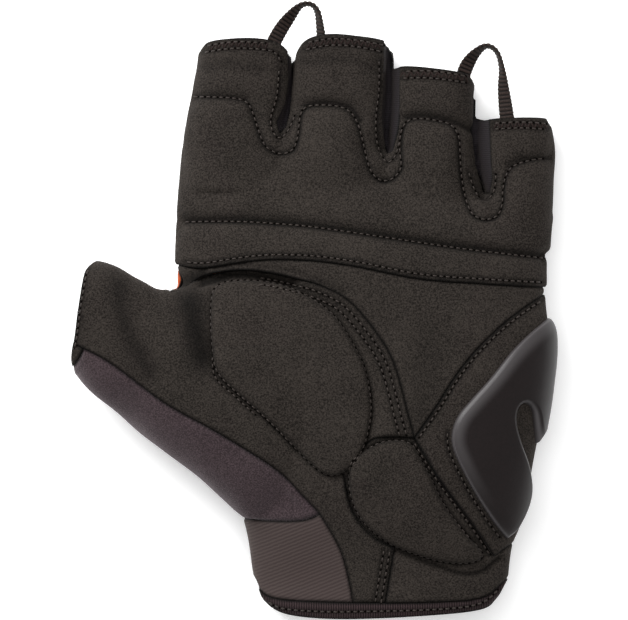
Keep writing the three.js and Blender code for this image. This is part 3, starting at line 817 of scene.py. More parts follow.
# Each fold of positive depth is also painted with shade along its bottom.
FOLDS: dict[str, tuple[Fold, ...]] = {
    "thumb_panel": (
        Fold(2.4, 1.7, ((-0.309, 0.052), (-0.288, 0.056), (-0.22, 0.061), (-0.138, 0.057),
                        (-0.057, 0.045))),
        Fold(0.9, 7.0, ((-0.334, 0.017), (-0.318, -0.034), (-0.299, -0.079))),
        Fold(0.6, 5.0, ((-0.524, 0.043), (-0.502, -0.034), (-0.442, -0.103))),
        Fold(-0.5, 6.0, ((-0.567, 0.043), (-0.556, -0.017))),
    ),
    "finger_panel": (
        Fold(0.35, 2.6, ((-0.293, 0.417), (-0.212, 0.422), (-0.138, 0.409))),
        Fold(0.3, 2.2, ((-0.022, 0.424), (0.087, 0.428), (0.171, 0.412))),
        Fold(0.55, 1.2, ((-0.293, 0.369), (-0.225, 0.366), (-0.182, 0.361))),
        Fold(0.9, 1.3, ((-0.027, 0.35), (0.019, 0.356), (0.065, 0.354), (0.106, 0.345), (0.13, 0.323))),
        Fold(0.9, 1.3, ((0.247, 0.33), (0.29, 0.334), (0.339, 0.33), (0.383, 0.323), (0.429, 0.309))),
        Fold(0.6, 1.2, ((0.529, 0.249), (0.562, 0.258), (0.616, 0.263))),
        Fold(0.9, 1.3, ((-0.35, 0.155), (-0.198, 0.156), (-0.035, 0.149), (0.087, 0.139),
                        (0.236, 0.125), (0.399, 0.11), (0.638, 0.094))),
    ),
    "palm_panel": (
        Fold(0.8, 2.2, ((-0.358, 0.044), (-0.342, 0.051), (-0.323, 0.059), (-0.299, 0.066))),
        Fold(0.5, 0.75, ((-0.269, 0.071), (-0.193, 0.076), (-0.114, 0.072), (-0.041, 0.063),
                         (0.03, 0.047), (0.087, 0.029))),
        Fold(0.2, 8.0, ((0.304, -0.034), (0.301, -0.12), (0.29, -0.189))),
    ),
    "heel_panel": (
        Fold(0.9, 0.95, ((0.225, -0.41), (0.258, -0.421), (0.342, -0.44), (0.41, -0.452),
                         (0.461, -0.448), (0.508, -0.426))),
    ),
}

# The regions that the front is cut into, in their order, and the panel that each makes
PANEL_OF = {
    "fingers": "finger_panel",
    "stretch": "wrist_stretch_panel",
    "side": "side_panel",
    "heel": "heel_panel",
    "thumb": "thumb_panel",
}
# The corner of suede that the thumb's hem ends in, beside the terry
TIP_TAB = ((-0.714, -0.026), (-0.638, -0.055), (-0.619, -0.067), (-0.63, -0.081), (-0.643, -0.093),
           (-0.66, -0.101), (-0.714, -0.11))
# Between the palm and the thumb, where the suede runs down into the crease
CREASE = ((-0.356, 0.1), (0.019, 0.1), (0.019, 0.009), (-0.442, 0.009), (-0.442, 0.034),
          (-0.372, 0.035), (-0.356, 0.045))
CREASE_FLOOR = 3.0  # how far down the suede follows the crease, as a height in millimetres
CREASE_TILT = 0.3  # how much further it leans there for each millimetre inside the crease
CROTCH = (-0.373, 0.053)
GUSSET_SHOWS = 1.05  # how far round to the palm side the gusset reaches at the crotch, as a lean
GUSSET_REACH = 2.7  # how far from the crotch it does so, in millimetres
LEAN_WIDTH = 8.0  # turns a difference of lean into one of millimetres, for a clean cut
TERRY_BLEND = 0.12  # how far to both sides of the side seam the terry's two borders mix, as a lean
TAB_LEAN = -0.5  # how far round to the back the corner of suede goes, as a lean


def ring_of(row: Points, count: int) -> Points:
    """The points round one section, flat where the mitt meets the floor.

    Args:
        row: Both ends, bottom and top of the section.
        count: How many points the ring has.

    Returns:
        One point a row, in millimetres.
    """
    start, end, (bottom, top) = row[:2], row[2:4], row[4:]
    half = np.linalg.norm(end - start) / 2
    across = (end - start) / (2 * half)
    angle = np.linspace(0, 2 * math.pi, count, endpoint=False)
    u, v = (np.sign(w) * np.abs(w) ** (2 / ROUNDNESS) for w in (np.cos(angle), np.sin(angle)))
    widest = bottom + (top - bottom) * WIDEST_AT
    z = widest + v * np.where(v > 0, top - widest, widest - bottom)
    plan = (start + end) / 2 + (u * half)[:, None] * across
    return np.column_stack([plan, np.maximum(z, 0)])


def closer_rows(table: Points, spacing: float) -> Points:
    """Adds sections between the chosen ones without overshooting them.

    Args:
        table: The chosen sections.
        spacing: The distance between the new ones, in millimetres.

    Returns:
        The chosen and the added sections.
    """
    gap = np.diff(reach_along((table[:, :2] + table[:, 2:4]) / 2))[:, None]
    rise = np.diff(table, axis=0) / gap
    slopes = np.zeros_like(table)
    before, after = rise[:-1], rise[1:]
    same_way = before * after > 0
    with np.errstate(divide="ignore", invalid="ignore"):
        mean = 2 * before * after / (before + after)
    slopes[1:-1] = np.where(same_way, mean, 0)
    slopes[0], slopes[-1] = rise[0], rise[-1]
    result = []
    for i in range(len(gap)):
        share = np.linspace(0, 1, max(int(gap[i, 0] / spacing), 1), endpoint=False)[:, None]
        result.append(cubic(table[i], table[i + 1], slopes[i] * gap[i], slopes[i + 1] * gap[i], share))
    return np.vstack([*result, table[-1:]])


@dataclass
class HandForm:
    """The form of the filled hand, which the mitt's cloth follows."""

    ring_points: int = 144
    row_spacing: float = 1.5
    melt_rounds: int = 12

    def loft(self, sections: Sequence[Section]) -> tuple[Points, list]:
        """A closed skin through the rings of one finger, the thumb or the palm.

        Args:
            sections: The chosen sections, from one end to the other.

        Returns:
            Points and faces.
        """
        table = closer_rows(np.array([section.row() for section in sections]), self.row_spacing)
        return closed_tube([ring_of(row, self.ring_points) for row in table])

    def skin(self, shift: Points) -> Skin:
        """Melts the palm, fingers and thumb into one skin, in the frame.

        Args:
            shift: From the middle of the palm to the frame's origin, in the plane.

        Returns:
            The closed skin, with the lean of its surface as a mark.
        """
        points, faces, start = [], [], 0
        for sections in (PALM, THUMB, *FINGERS.values()):
            part, part_faces = self.loft(sections)
            points.append(part)
            faces += [[start + corner for corner in face] for face in part_faces]
            start += len(part)
        mesh = bpy.data.meshes.new("form")
        mesh.from_pydata(np.vstack(points).tolist(), [], faces)
        form = bpy.data.objects.new("form", mesh)
        bpy.context.scene.collection.objects.link(form)
        turn_out(mesh)
        union = form.modifiers.new("union", "REMESH")
        union.mode = "VOXEL"
        union.voxel_size = VOXEL
        result = form.evaluated_get(bpy.context.evaluated_depsgraph_get()).to_mesh()
        result.calc_loop_triangles()
        corners = np.zeros(len(result.vertices) * 3)
        triangles = np.zeros(len(result.loop_triangles) * 3, np.int32)
        result.vertices.foreach_get("co", corners)
        result.loop_triangles.foreach_get("vertices", triangles)
        bpy.data.objects.remove(form)
        corners = corners.reshape(-1, 3) + (*shift, 0)
        skin = Skin(corners, np.zeros_like(corners), triangles.reshape(-1, 3).astype(int))
        skin = skin.largest().smoothed(self.melt_rounds)
        skin.points[:, 2] = np.maximum(skin.points[:, 2], 0)
        skin.marks["lean"] = self.lean(skin)
        return skin

    @staticmethod
    def lean(skin: Skin) -> Points:
        """How far the surface faces up, evened out so that the side seam runs smoothly.

        Args:
            skin: The closed skin of the hand.

        Returns:
            One value a point, 1 where the surface faces straight up.
        """
        edges = skin.edges()
        up = skin.normals[:, 2:3]
        for _ in range(LEAN_ROUNDS):
            up = (up + neighbour_mean(up, edges)) / 2
        return up[:, 0]


def turn_out(mesh: bpy.types.Mesh) -> None:
    """Makes every face of the closed parts of a mesh point outward.

    Args:
        mesh: The mesh, changed in place.
    """
    work = bmesh.new()
    work.from_mesh(mesh)
    bmesh.ops.recalc_face_normals(work, faces=work.faces)
    work.to_mesh(mesh)
    work.free()


class Pattern:
    """The mitt's flat pattern: the lines between its panels, and the regions they bound."""

    def __init__(self, shift: Points) -> None:
        """Places every line in the frame.

        Args:
            shift: From the middle of the palm to the frame's origin, in the plane.
        """
        self.shift = shift
        self.edge = {name: smooth_line(place(chosen)) + shift for name, chosen in EDGES.items()}
        self.pad = {name: smooth_line(place(OUTLINES[name]), 10, True) + shift for name in SUEDE_PADS}
        self.gap = {name: place(OUTLINES[f"{name}_gap"]) + shift for name in GAPS}
        stretches = [smooth_line(place(chosen), 10)[:-1] for chosen in MOULDED_STRETCHES]
        self.pad["moulded_pad"] = np.vstack(stretches) + shift
        self.edge["moulded_edge"] = smooth_line(place(MOULDED_STRETCHES[0])) + shift
        self.region = self._regions()

    def _regions(self) -> dict[str, Points]:
        """The outlines of the panels, run far past the mitt where nothing bounds them.

        Returns:
            One outline for each region.
        """
        edge = self.edge
        back = {name: line[::-1] for name, line in edge.items()}

        def far(line: Points, x: float | None = None, y: float | None = None) -> Points:
            """A far point level with the last point of a line."""
            return np.array([[line[-1, 0] if x is None else x, line[-1, 1] if y is None else y]])

        def beyond(*lines: Points, x: float | None = None, y: float | None = None) -> list[Points]:
            """Lines that run on from their last point, and back to their first, far to one side."""
            return [*lines, far(lines[-1], x, y), far(lines[0][::-1], x, y)]

        thumb_top = [far(back["terry_seam"], x=-REACH), [[-REACH, REACH]], far(back["thumb_arc"], y=REACH)]
        heel_round = [far(edge["heel_side"], x=REACH), [[REACH, -REACH]], far(edge["heel_seam"], y=-REACH)]
        back_round = [
            far(edge["thumb_back"], y=-REACH),
            [[-REACH, -REACH], [-REACH, REACH]],
            far(back["thumb_back"], y=REACH),
        ]
        stretches = {
            "cuff": beyond(edge["binding_top"], y=-REACH),
            "fingers": beyond(edge["overlay"], y=REACH),
            "gusset": beyond(edge["gusset"], x=-REACH),
            "side": beyond(edge["outer_edge"], edge["heel_outer"], edge["heel_side"], x=REACH),
            "terry": beyond(edge["terry_seam"], edge["terry_end"], x=-REACH),
            "stretch": [
                *(edge["stretch_edge"], far(edge["stretch_edge"], y=-REACH)),
                *(far(edge["terry_end"], y=-REACH), back["terry_end"]),
            ],
            "thumb_back": [edge["thumb_back"], *back_round],
            "heel": [
                *(back["heel_top"], edge["heel_outer"], edge["heel_side"]),
                *heel_round,
                *(back["heel_seam"], back["heel_inner"]),
            ],
            "thumb": [
                *(edge["thumb_arc"], edge["heel_top"], edge["heel_inner"], edge["heel_seam"]),
                *(back["stretch_edge"], back["terry_seam"]),
                *thumb_top,
            ],
        }
        return {name: np.vstack(parts) for name, parts in stretches.items()}

    def trimmed(self, skin: Skin) -> Skin:
        """Cuts the skin off at the hems of the fingers, the thumb and the cuff.

        Args:
            skin: The closed skin of the hand.

        Returns:
            The skin, open at every hem.
        """
        hems = []
        for name in FINGERS:
            line = self.edge[f"{name}_hem"]
            hems.append(np.vstack([line, [[line[-1, 0], REACH], [line[0, 0], REACH]]]))
        thumb, cuff = self.edge["thumb_hem"], self.edge["cuff_hem"]
        hems.append(np.vstack([thumb, [[-REACH, thumb[-1, 1]], [-REACH, thumb[0, 1]]]]))
        hems.append(np.vstack([cuff, [[cuff[-1, 0], -REACH], [cuff[0, 0], -REACH]]]))
        past = np.max([depth_inside(skin.points, outline) for outline in hems], axis=0)
        return skin.clipped(-past).largest()

    def depth(self, skin: Skin, name: str) -> Points:
        """How deep each point of a skin lies inside a named region."""
        return depth_inside(skin.points, self.region[name])

    def panels(self, form: Skin) -> dict[str, Skin]:
        """Cuts the mitt's skin into its pieces of cloth.

        Args:
            form: The closed skin of the hand.

        Returns:
            An open skin for each piece, by the name of the solid that it stands for.
        """
        body = self.trimmed(form)
        cuff = self.depth(body, "cuff")
        cut = {"cuff_binding": body.clipped(cuff)}
        body = body.clipped(-cuff)
        for name, outline in self.gap.items():
            inside = depth_inside(body.points, outline)
            cut[f"{name}_fourchette"] = body.clipped(inside).largest(0.03)
            body = body.clipped(-inside)

        # Between the palm and the thumb the suede runs down into the crease
        crease = depth_inside(body.points, place(CREASE) + self.shift)
        crease = np.minimum(np.minimum(crease, body.points[:, 2] - CREASE_FLOOR), 1.0)
        body.marks["lean"] = np.maximum(body.marks["lean"], SIDE_SEAM_TILT + CREASE_TILT * crease)

        # The terry wraps round the thumb's outer edge, and the gusset just shows past its root
        lean = body.marks["lean"] - SIDE_SEAM_TILT
        palm_share = ease(lean, -TERRY_BLEND, TERRY_BLEND)
        stretch = self.depth(body, "stretch")
        behind = np.minimum(self.depth(body, "thumb_back"), -stretch)
        terry = palm_share * self.depth(body, "terry") + (1 - palm_share) * behind
        cloth = body.clipped(terry).largest()
        tab = np.minimum(
            depth_inside(cloth.points, place(TIP_TAB) + self.shift), cloth.marks["lean"] - TAB_LEAN
        )
        cut["thumb_tip_tab"] = cloth.clipped(tab).largest()
        cut["thumb_terry"] = cloth.clipped(-tab).largest()
        body = body.clipped(-terry)
        lean = body.marks["lean"] - SIDE_SEAM_TILT
        crotch = place([CROTCH])[0] + self.shift
        near = falloff(np.linalg.norm(body.points[:, :2] - crotch, axis=1), GUSSET_REACH)
        gusset = np.minimum(self.depth(body, "gusset"), (GUSSET_SHOWS * near - lean) * LEAN_WIDTH)
        cut["thumb_gusset"] = body.clipped(gusset).largest(0.01)
        body = body.clipped(-gusset)
        lean = body.marks["lean"] - SIDE_SEAM_TILT
        cut["back_panel"] = body.clipped(-lean).largest()

        front = body.clipped(lean)
        for name, panel in PANEL_OF.items():
            inside = self.depth(front, name)
            cut[panel] = front.clipped(inside).largest()
            front = front.clipped(-inside)
        cut["palm_panel"] = front.largest()
        return cut


def quarter_round(inside: Points, width: float) -> Points:
    """A profile that rises from 0 at an edge like a quarter of a circle, to 1 at a given width."""
    return np.sqrt(np.clip(1 - (1 - np.clip(inside / width, 0, 1)) ** 2, 0, 1))


def edge_distance(skin: Skin) -> Points:
    """The distance of each point of an open skin from its border.

    Args:
        skin: The open skin.

    Returns:
        One distance a point.
    """
    ends = skin.points[skin.border()]
    marks = np.vstack([ends[:, 0] * (1 - share) + ends[:, 1] * share for share in (0.0, 0.33, 0.67)])
    tree = KDTree(len(marks))
    for number, point in enumerate(marks.tolist()):
        tree.insert(point, number)
    tree.balance()
    return np.array([tree.find(point)[2] for point in skin.points.tolist()])


def unevenness(points: Points, size: float, seed: int) -> Points:
    """A soft random rise and fall, about -1 to 1, from waves that cross each other.

    Args:
        points: Where to read it.
        size: The bumps' size, in millimetres.
        seed: Fixes the draw, so that each run gives the same cloth.

    Returns:
        One value a point.
    """
    draw = np.random.default_rng(seed)
    total = np.zeros(len(points))
    waves = 14
    for _ in range(waves):
        direction = draw.normal(size=3)
        direction /= np.linalg.norm(direction)
        pitch = size * draw.uniform(1.3, 3.2)
        total += np.sin(points @ direction * 2 * math.pi / pitch + draw.uniform(0, 2 * math.pi))
    return total / math.sqrt(waves)


@dataclass(frozen=True)
class Cut:
    """How one piece of cloth lies and ends, in millimetres."""

    seat: float = 0.0
    thickness: float = WALL
    roll: float = 0.55
    roll_width: float = 0.9
    wrinkle: float = 0.1


CUTS: dict[str, Cut] = {
    "finger_panel": Cut(seat=0.75, roll=0.5, roll_width=0.8),
    "palm_panel": Cut(seat=-0.1, roll=0.35),
    "thumb_panel": Cut(seat=0.3, roll=0.6),
    "side_panel": Cut(seat=0.3, roll=0.3),
    "heel_panel": Cut(seat=0.3, roll=0.35),
    "wrist_stretch_panel": Cut(seat=-0.15, roll=0.4, wrinkle=0.2),
    "thumb_terry": Cut(seat=0.35, thickness=1.6, roll=0.9, roll_width=1.4, wrinkle=0.3),
    "thumb_tip_tab": Cut(seat=0.3, thickness=1.5, roll=0.5, roll_width=0.7),
    "thumb_gusset": Cut(seat=-0.1, thickness=0.9, roll=0.3),
    "back_panel": Cut(seat=0.0, thickness=1.0, roll=0.3, wrinkle=0.1),
    "cuff_binding": Cut(seat=0.6, thickness=2.2, roll=0.8, roll_width=1.3, wrinkle=0.08),
    **{f"{name}_fourchette": Cut(seat=-0.3, thickness=0.8, roll=0.2) for name in GAPS},
}
# How stitches and folds show in the cloth, in millimetres
PAD_LOW = 0.9  # how far the cloth under a pad gives way
GROOVE_WIDTH = 0.75  # of the groove at a stitch, and of the line of painted shade at a cut edge
HOLLOW_WIDTH = 3.4  # of the hollow that a row of stitches draws into the filling
EDGE_DARK = 1.2  # how dark the painted shade along a turned edge is
WRINKLE_SIZE = 9.0
WRINKLE_SEED = 7
CALM_WIDTH = 4.0  # how far in from its edge the cloth's unevenness grows to its full height
FACES_UP = (0.05, 0.5)  # the normal's z over which stitches begin to pull the cloth
PAD_STEP = (0.1, 1.4)  # how far inside a pad's outline the cloth under it goes down


@dataclass
class Relief:
    """How far a panel's face stands off the form from its seams, stitches and folds, and the shade painted
    into them.
    """

    skin: Skin
    cut: Cut
    rise: Points = field(init=False)
    groove: Points = field(init=False)

    def __post_init__(self) -> None:
        """Starts from the panel's seat, with painted shade on its turned-down edges, and its cloth uneven.
        """
        edge = edge_distance(self.skin)
        turned = 1 - ease(edge, 0, self.cut.roll_width)
        self.rise = self.cut.seat - self.cut.roll * turned**1.5
        uneven = unevenness(self.skin.points, WRINKLE_SIZE, WRINKLE_SEED)
        self.rise += self.cut.wrinkle * uneven * ease(edge, 0, CALM_WIDTH)
        # Painted shade along the turned edges, where the seams fall into shadow
        self.groove = EDGE_DARK * (1 - ease(edge, 0, GROOVE_WIDTH))

    def sew(self, row: StitchRow, pattern: Pattern) -> None:
        """Pulls the cloth down along a row of stitches, on its upper side alone, and paints shade into the
        groove.

        Args:
            row: The row.
            pattern: The mitt's pattern.
        """
        sharp, broad = row.sewing.value
        distance = distance_to(self.skin.points, row.line(pattern), row.closed)
        above = ease(self.skin.normals[:, 2], *FACES_UP)
        groove = falloff(distance, GROOVE_WIDTH)
        self.rise -= above * (sharp * groove + broad * falloff(distance, HOLLOW_WIDTH))
        # Painted shade in the stitches' groove
        self.groove = np.maximum(self.groove, above * min(0.5 + sharp, 1) * groove)

    def fold(self, fold: Fold, shift: Points) -> None:
        """Lays a fold, a crease or a swelling into the cloth.

        Args:
            fold: The fold, which gets painted shade at its bottom.
            shift: From the middle of the palm to the frame's origin, in the plane.
        """
        line = smooth_line(place(fold.chosen)) + shift
        distance = distance_to(self.skin.points, line)
        self.rise -= fold.depth * falloff(distance, fold.width)
        if fold.depth > 0:
            # Painted shade at the fold's bottom
            dark = min(fold.depth, 1) * falloff(distance, 0.6 * fold.width)
            self.groove = np.maximum(self.groove, dark)

    def sink_under(self, outline: Points) -> None:
        """Lowers the cloth under a pad."""
        inside = depth_inside(self.skin.points, outline)
        self.rise -= PAD_LOW * ease(inside, *PAD_STEP)

    def shell(self) -> Skin:
        """The finished piece of cloth, as a closed shell."""
        self.skin.marks = {"groove": self.groove}
        return self.skin.thickened(self.rise, self.rise - self.cut.thickness)


def linear(code: str) -> tuple[float, float, float, float]:
    """Turns an sRGB hex colour into the linear one that a shader takes."""
    channels = [int(code[i : i + 2], 16) / 255 for i in (1, 3, 5)]
    return (*(c / 12.92 if c <= 0.04045 else ((c + 0.055) / 1.055) ** 2.4 for c in channels), 1.0)


Tree = bpy.types.NodeTree
Socket = bpy.types.NodeSocket


def add_node(tree: Tree, kind: str, inputs: dict | None = None, **settings: object) -> bpy.types.Node:
    """Adds a node with its settings and links.

    Args:
        tree: The material's or the world's nodes.
        kind: The node's type.
        inputs: Values or sockets, by the input's name or number.
        **settings: The node's own properties.

    Returns:
        The new node.
    """
    node = tree.nodes.new(kind)
    for name, value in settings.items():
        setattr(node, name, value)
    for key, value in (inputs or {}).items():
        socket = node.inputs[key]
        if isinstance(value, bpy.types.NodeSocket):
            tree.links.new(value, socket)
        else:
            socket.default_value = value
    return node


GROOVE_SHADE = 0.85  # how far painted shade darkens the colour at the bottom of a deep groove
WAVE_SCALE = 20.0  # the wave texture's phase for each unit of its scale and place


@dataclass(frozen=True)
class Finish:
    """A finish of the mitt: its colour, gloss and the grain that all its kinds share.

    The grain is a fine pattern that lightens and darkens the colour and raises the face.
    """

    name: str
    dark: str
    light: str
    roughness: float
    sheen: float = 0.0
    sheen_colour: str = "#8a8078"
    specular: float = 0.3
    grain: float = 0.45
    grain_rise: float = 0.10
    mottle: float = 14.0
    # the colour of the painted highlight that the rim mark mixes in
    highlight_colour: str = "#5b5553"

    def material(self) -> bpy.types.Material:
        """Makes the material with its nodes.

        The groove mark darkens the colour with painted shade in seams, folds, turned edges and hollows, and
        the rim mark mixes in the colour of a painted highlight.

        Returns:
            The new material.
        """
        made = bpy.data.materials.new(self.name)
        made.use_nodes = True
        tree = made.node_tree
        tree.nodes.clear()
        where = add_node(tree, "ShaderNodeTexCoord").outputs["Object"]
        scaled = add_node(tree, "ShaderNodeVectorMath", {0: where, "Scale": 1 / MM}, operation="SCALE")
        millimetres = scaled.outputs[0]
        height = self.height(tree, millimetres)
        tone = self.tone(tree, millimetres, height)
        mixed = {"Factor": tone, 6: linear(self.dark), 7: linear(self.light)}
        colour = add_node(tree, "ShaderNodeMix", mixed, data_type="RGBA").outputs[2]
        # Painted shade: the groove mark darkens the colour where shade falls in seams, folds and hollows
        groove = add_node(tree, "ShaderNodeAttribute", attribute_name="groove").outputs["Fac"]
        left = {0: groove, 1: -GROOVE_SHADE, 2: 1.0}
        shade = add_node(tree, "ShaderNodeMath", left, operation="MULTIPLY_ADD", use_clamp=True)
        shaded = {0: colour, "Scale": shade.outputs[0]}
        colour = add_node(tree, "ShaderNodeVectorMath", shaded, operation="SCALE").outputs[0]
        # Painted highlight: the rim mark mixes in the highlight colour on the moulded pad's rim and bevel
        rim = add_node(tree, "ShaderNodeAttribute", attribute_name="rim").outputs["Fac"]
        highlight_colour = {"Factor": rim, 6: colour, 7: linear(self.highlight_colour)}
        colour = add_node(tree, "ShaderNodeMix", highlight_colour, data_type="RGBA").outputs[2]
        relief = {"Height": height, "Distance": self.grain_rise * MM, "Strength": 1.0}
        bump = add_node(tree, "ShaderNodeBump", relief).outputs[0]
        shader = add_node(
            tree,
            "ShaderNodeBsdfPrincipled",
            {
                "Base Color": colour,
                "Roughness": self.roughness,
                "Specular IOR Level": self.specular,
                "Sheen Weight": self.sheen,
                "Sheen Roughness": 0.5,
                "Sheen Tint": linear(self.sheen_colour),
                "Normal": bump,
            },
        )
        add_node(tree, "ShaderNodeOutputMaterial", {"Surface": shader.outputs[0]})
        return made

    def height(self, tree: Tree, millimetres: Socket) -> Socket:
        """The fine relief of the face, from 0 to 1."""
        return add_node(
            tree, "ShaderNodeTexNoise", {"Vector": millimetres, "Scale": 1 / self.grain, "Detail": 3.0}
        ).outputs["Fac"]

    def tone(self, tree: Tree, millimetres: Socket, height: Socket) -> Socket:
        """Where the face is light and where dark: the fine relief with broad patches.

        Args:
            tree: The material's nodes.
            millimetres: The place on the piece.
            height: The fine relief.

        Returns:
            The share of the light colour, from 0 to 1.
        """
        broad = add_node(
            tree, "ShaderNodeTexNoise", {"Vector": millimetres, "Scale": 1 / self.mottle, "Detail": 2.0}
        ).outputs["Fac"]
        mixed = add_node(tree, "ShaderNodeMix", {"Factor": 0.16, 2: height, 3: broad}).outputs[0]
        steps = {"Value": mixed, "From Min": 0.29, "From Max": 0.71}
        return add_node(tree, "ShaderNodeMapRange", steps, interpolation_type="SMOOTHSTEP").outputs[0]


@dataclass(frozen=True)
class RibbedFinish(Finish):
    """A cloth with ribs or threads that run one way."""

    pitch: float = 0.8
    turn: float = 0.0

    def height(self, tree: Tree, millimetres: Socket) -> Socket:
        """Ribs of the given pitch, broken up by a fine grain.

        Args:
            tree: The material's nodes.
            millimetres: The place on the piece.

        Returns:
            The relief, from 0 to 1.
        """
        turned = {"Vector": millimetres, "Angle": math.radians(self.turn)}
        across = add_node(tree, "ShaderNodeVectorRotate", turned, rotation_type="Z_AXIS").outputs[0]
        waves = {"Vector": across, "Scale": math.tau / self.pitch / WAVE_SCALE, "Distortion": 1.2}
        waves |= {"Detail": 1.0, "Detail Scale": 3.0}
        ribs = add_node(tree, "ShaderNodeTexWave", waves).outputs["Fac"]
        grain = super().height(tree, millimetres)
        return add_node(tree, "ShaderNodeMix", {"Factor": 0.35, 2: ribs, 3: grain}).outputs[0]


@dataclass(frozen=True)
class LoopedFinish(Finish):
    """A pile of small loops."""

    loop: float = 0.9

    def height(self, tree: Tree, millimetres: Socket) -> Socket:
        """Round heads of loops with dark gaps between them.

        Args:
            tree: The material's nodes.
            millimetres: The place on the piece.

        Returns:
            The relief, from 0 to 1.
        """
        loops = {"Vector": millimetres, "Scale": 1 / self.loop, "Randomness": 1.0}
        cells = add_node(tree, "ShaderNodeTexVoronoi", loops).outputs["Distance"]
        turned_over = {"Value": cells, "From Min": 0.0, "From Max": 0.8, "To Min": 1.0, "To Max": 0.0}
        heads = add_node(tree, "ShaderNodeMapRange", turned_over).outputs[0]
        grain = super().height(tree, millimetres)
        return add_node(tree, "ShaderNodeMix", {"Factor": 0.65, 2: heads, 3: grain}).outputs[0]


# Scales are in millimetres, and a pixel of the render is about 0.29 mm wide on the palm. A pattern
# whose real size is finer than that is drawn as coarse as it needs to show.

# Napped synthetic suede: a microfibre felt brushed to a short nap, matt with a faint bloom of sheen.
# The nap's tufts are about 0.1 mm, too fine to show, and are drawn at 0.45.
SUEDE = Finish(
    "Napped_Synthetic_Suede", "#110e0c", "#35302c", 0.95, sheen=0.12, specular=0.15, grain_rise=0.2
)
# Polyester and nylon terry: a soft pile of loops for wiping, purplish brown and a little lighter.
# Its loops are 0.42 mm, and the fuzz on them, too fine to show, is drawn at 0.4.
TERRY = LoopedFinish(
    "Looped_Terry", "#271f21", "#463b3e", 0.95, sheen=0.7, sheen_colour="#928a8d", specular=0.1,
    grain=0.4, grain_rise=0.2, loop=0.42,
)
# Ribbed nylon and elastane stretch cloth at the inner wrist: dull, with slanting ribs 0.95 mm apart.
# Its yarn is too fine to show, and its grain is drawn at 0.4.
STRETCH = RibbedFinish(
    "Ribbed_Stretch_Cloth", "#352c2b", "#403735", 0.8, sheen=0.2, specular=0.2,
    grain=0.4, grain_rise=0.05, pitch=0.95, turn=68.0,
)
# Elastane knit of the strips between the fingers: smooth, with a faint sheen. The knit's rows are
# about 0.3 mm apart, too fine to show, and are drawn at 0.55.
LYCRA = RibbedFinish(
    "Elastane_Knit", "#151214", "#201c1f", 0.7, sheen=0.2, specular=0.2,
    grain=0.5, grain_rise=0.05, pitch=0.55, turn=90.0,
)
# Folded cloth that binds the cuff, woven, of a redder brown, matt. Its threads are about 0.3 mm
# apart, too fine to show, and are drawn at 0.7.
BINDING = RibbedFinish(
    "Woven_Binding", "#171011", "#352a2b", 0.85, sheen=0.15, specular=0.15, grain=0.4, pitch=0.7
)
# Dyed stretch cloth of the gusset: bright and matt. Its rows are drawn coarser too, at 0.7.
ORANGE = RibbedFinish(
    "Orange_Stretch_Cloth", "#a34118", "#c85c26", 0.8, sheen=0.1, specular=0.2, grain=0.3, pitch=0.7
)
# Dark knit of the back: plain and matt. Its rows are drawn coarser too, at 0.8.
BACK = RibbedFinish("Dark_Back_Knit", "#141212", "#2b2727", 0.8, sheen=0.15, specular=0.2, turn=45.0)
# Injection-moulded rubber with a satin skin: dark, with broad soft reflections. The mould's fine
# grain doesn't show, and is drawn at 0.7 but next to flat.
# Its light grey is painted highlight, mixed in along the pad's rim and on its bevel.
RUBBER = Finish(
    "Moulded_Rubber", "#100a0a", "#160f0f", 0.42, specular=0.3, grain=0.7, grain_rise=0.006, highlight_colour="#494647"
)
# Woven nylon tape of the pull loops: dull. Its ribs are in the mesh, and the yarn's grain, too fine
# to show, is drawn at 0.3.
TAPE = Finish(
    "Woven_Nylon_Tape", "#1a1412", "#3a2f2b", 0.75, sheen=0.12, specular=0.2, grain=0.3, grain_rise=0.08
)
# Bonded polyester sewing thread, a shade lighter than the suede, with a slight gloss. Its twist is
# drawn at 0.25.
THREAD = Finish(
    "Polyester_Thread", "#211c19", "#3a332f", 0.6, sheen=0.1, grain=0.25, grain_rise=0.04
)
# Woolly nylon thread of the cover stitch that binds the hems, reddish brown
COVER_THREAD = Finish(
    "Woolly_Nylon_Thread", "#1a1312", "#2c2220", 0.9, sheen=0.1, specular=0.15, grain=0.25, grain_rise=0.04
)
# Near-black painted shade for the pits where the needle pulled the cloth in
PIT_SHADE = Finish("Needle_Pit_Shade", "#060504", "#0b0908", 1.0, specular=0.0, grain_rise=0.02)

# The solids that each finish is for, by the record's slot
SLOTS: dict[str, tuple[Finish, tuple[str, ...]]] = {
    "suede": (
        SUEDE,
        ("finger_panel", "palm_panel", "thumb_panel", "side_panel", "heel_panel", "thenar_pad", "heel_pad"),
    ),
    "moulded_rubber": (RUBBER, ("moulded_pad",)),
    "terry": (TERRY, ("thumb_terry",)),
    "stretch_cloth": (STRETCH, ("wrist_stretch_panel",)),
    "binding": (BINDING, ("cuff_binding",)),
    "lycra": (LYCRA, tuple(f"{name}_fourchette" for name in GAPS)),
    "orange_cloth": (ORANGE, ("thumb_gusset",)),
    "back_cloth": (BACK, ("back_panel",)),
    "woven_tape": (TAPE, ("index_pull_loop", "ring_pull_loop")),
}
FINISHES = {node: (finish, slot) for slot, (finish, nodes) in SLOTS.items() for node in nodes}


class Wardrobe:
    """Puts each piece on its body, in its finish, in place of its solid."""

    def __init__(self) -> None:
        """Starts with no material made."""
        self.made: dict[str, bpy.types.Material] = {}

    def dress(self, piece: bpy.types.Object, finish: Finish) -> None:
        """Gives a piece its finish, and lets it ride on the mitt.

        Args:
            piece: The piece.
            finish: Its finish, made once for all the pieces that wear it.
        """
        if finish.name not in self.made:
            self.made[finish.name] = finish.material()
        piece.data.materials.append(self.made[finish.name])
        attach(piece, BODY)
        log.info("%s: %d faces", piece.name, len(piece.data.polygons))

    def stand_for(self, piece: bpy.types.Object, node: str) -> None:
        """Dresses a piece that takes the place of a solid.

        Args:
            piece: The piece.
            node: The solid's name.
        """
        finish, slot = FINISHES[node]
        self.dress(piece, finish)
        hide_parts(node)


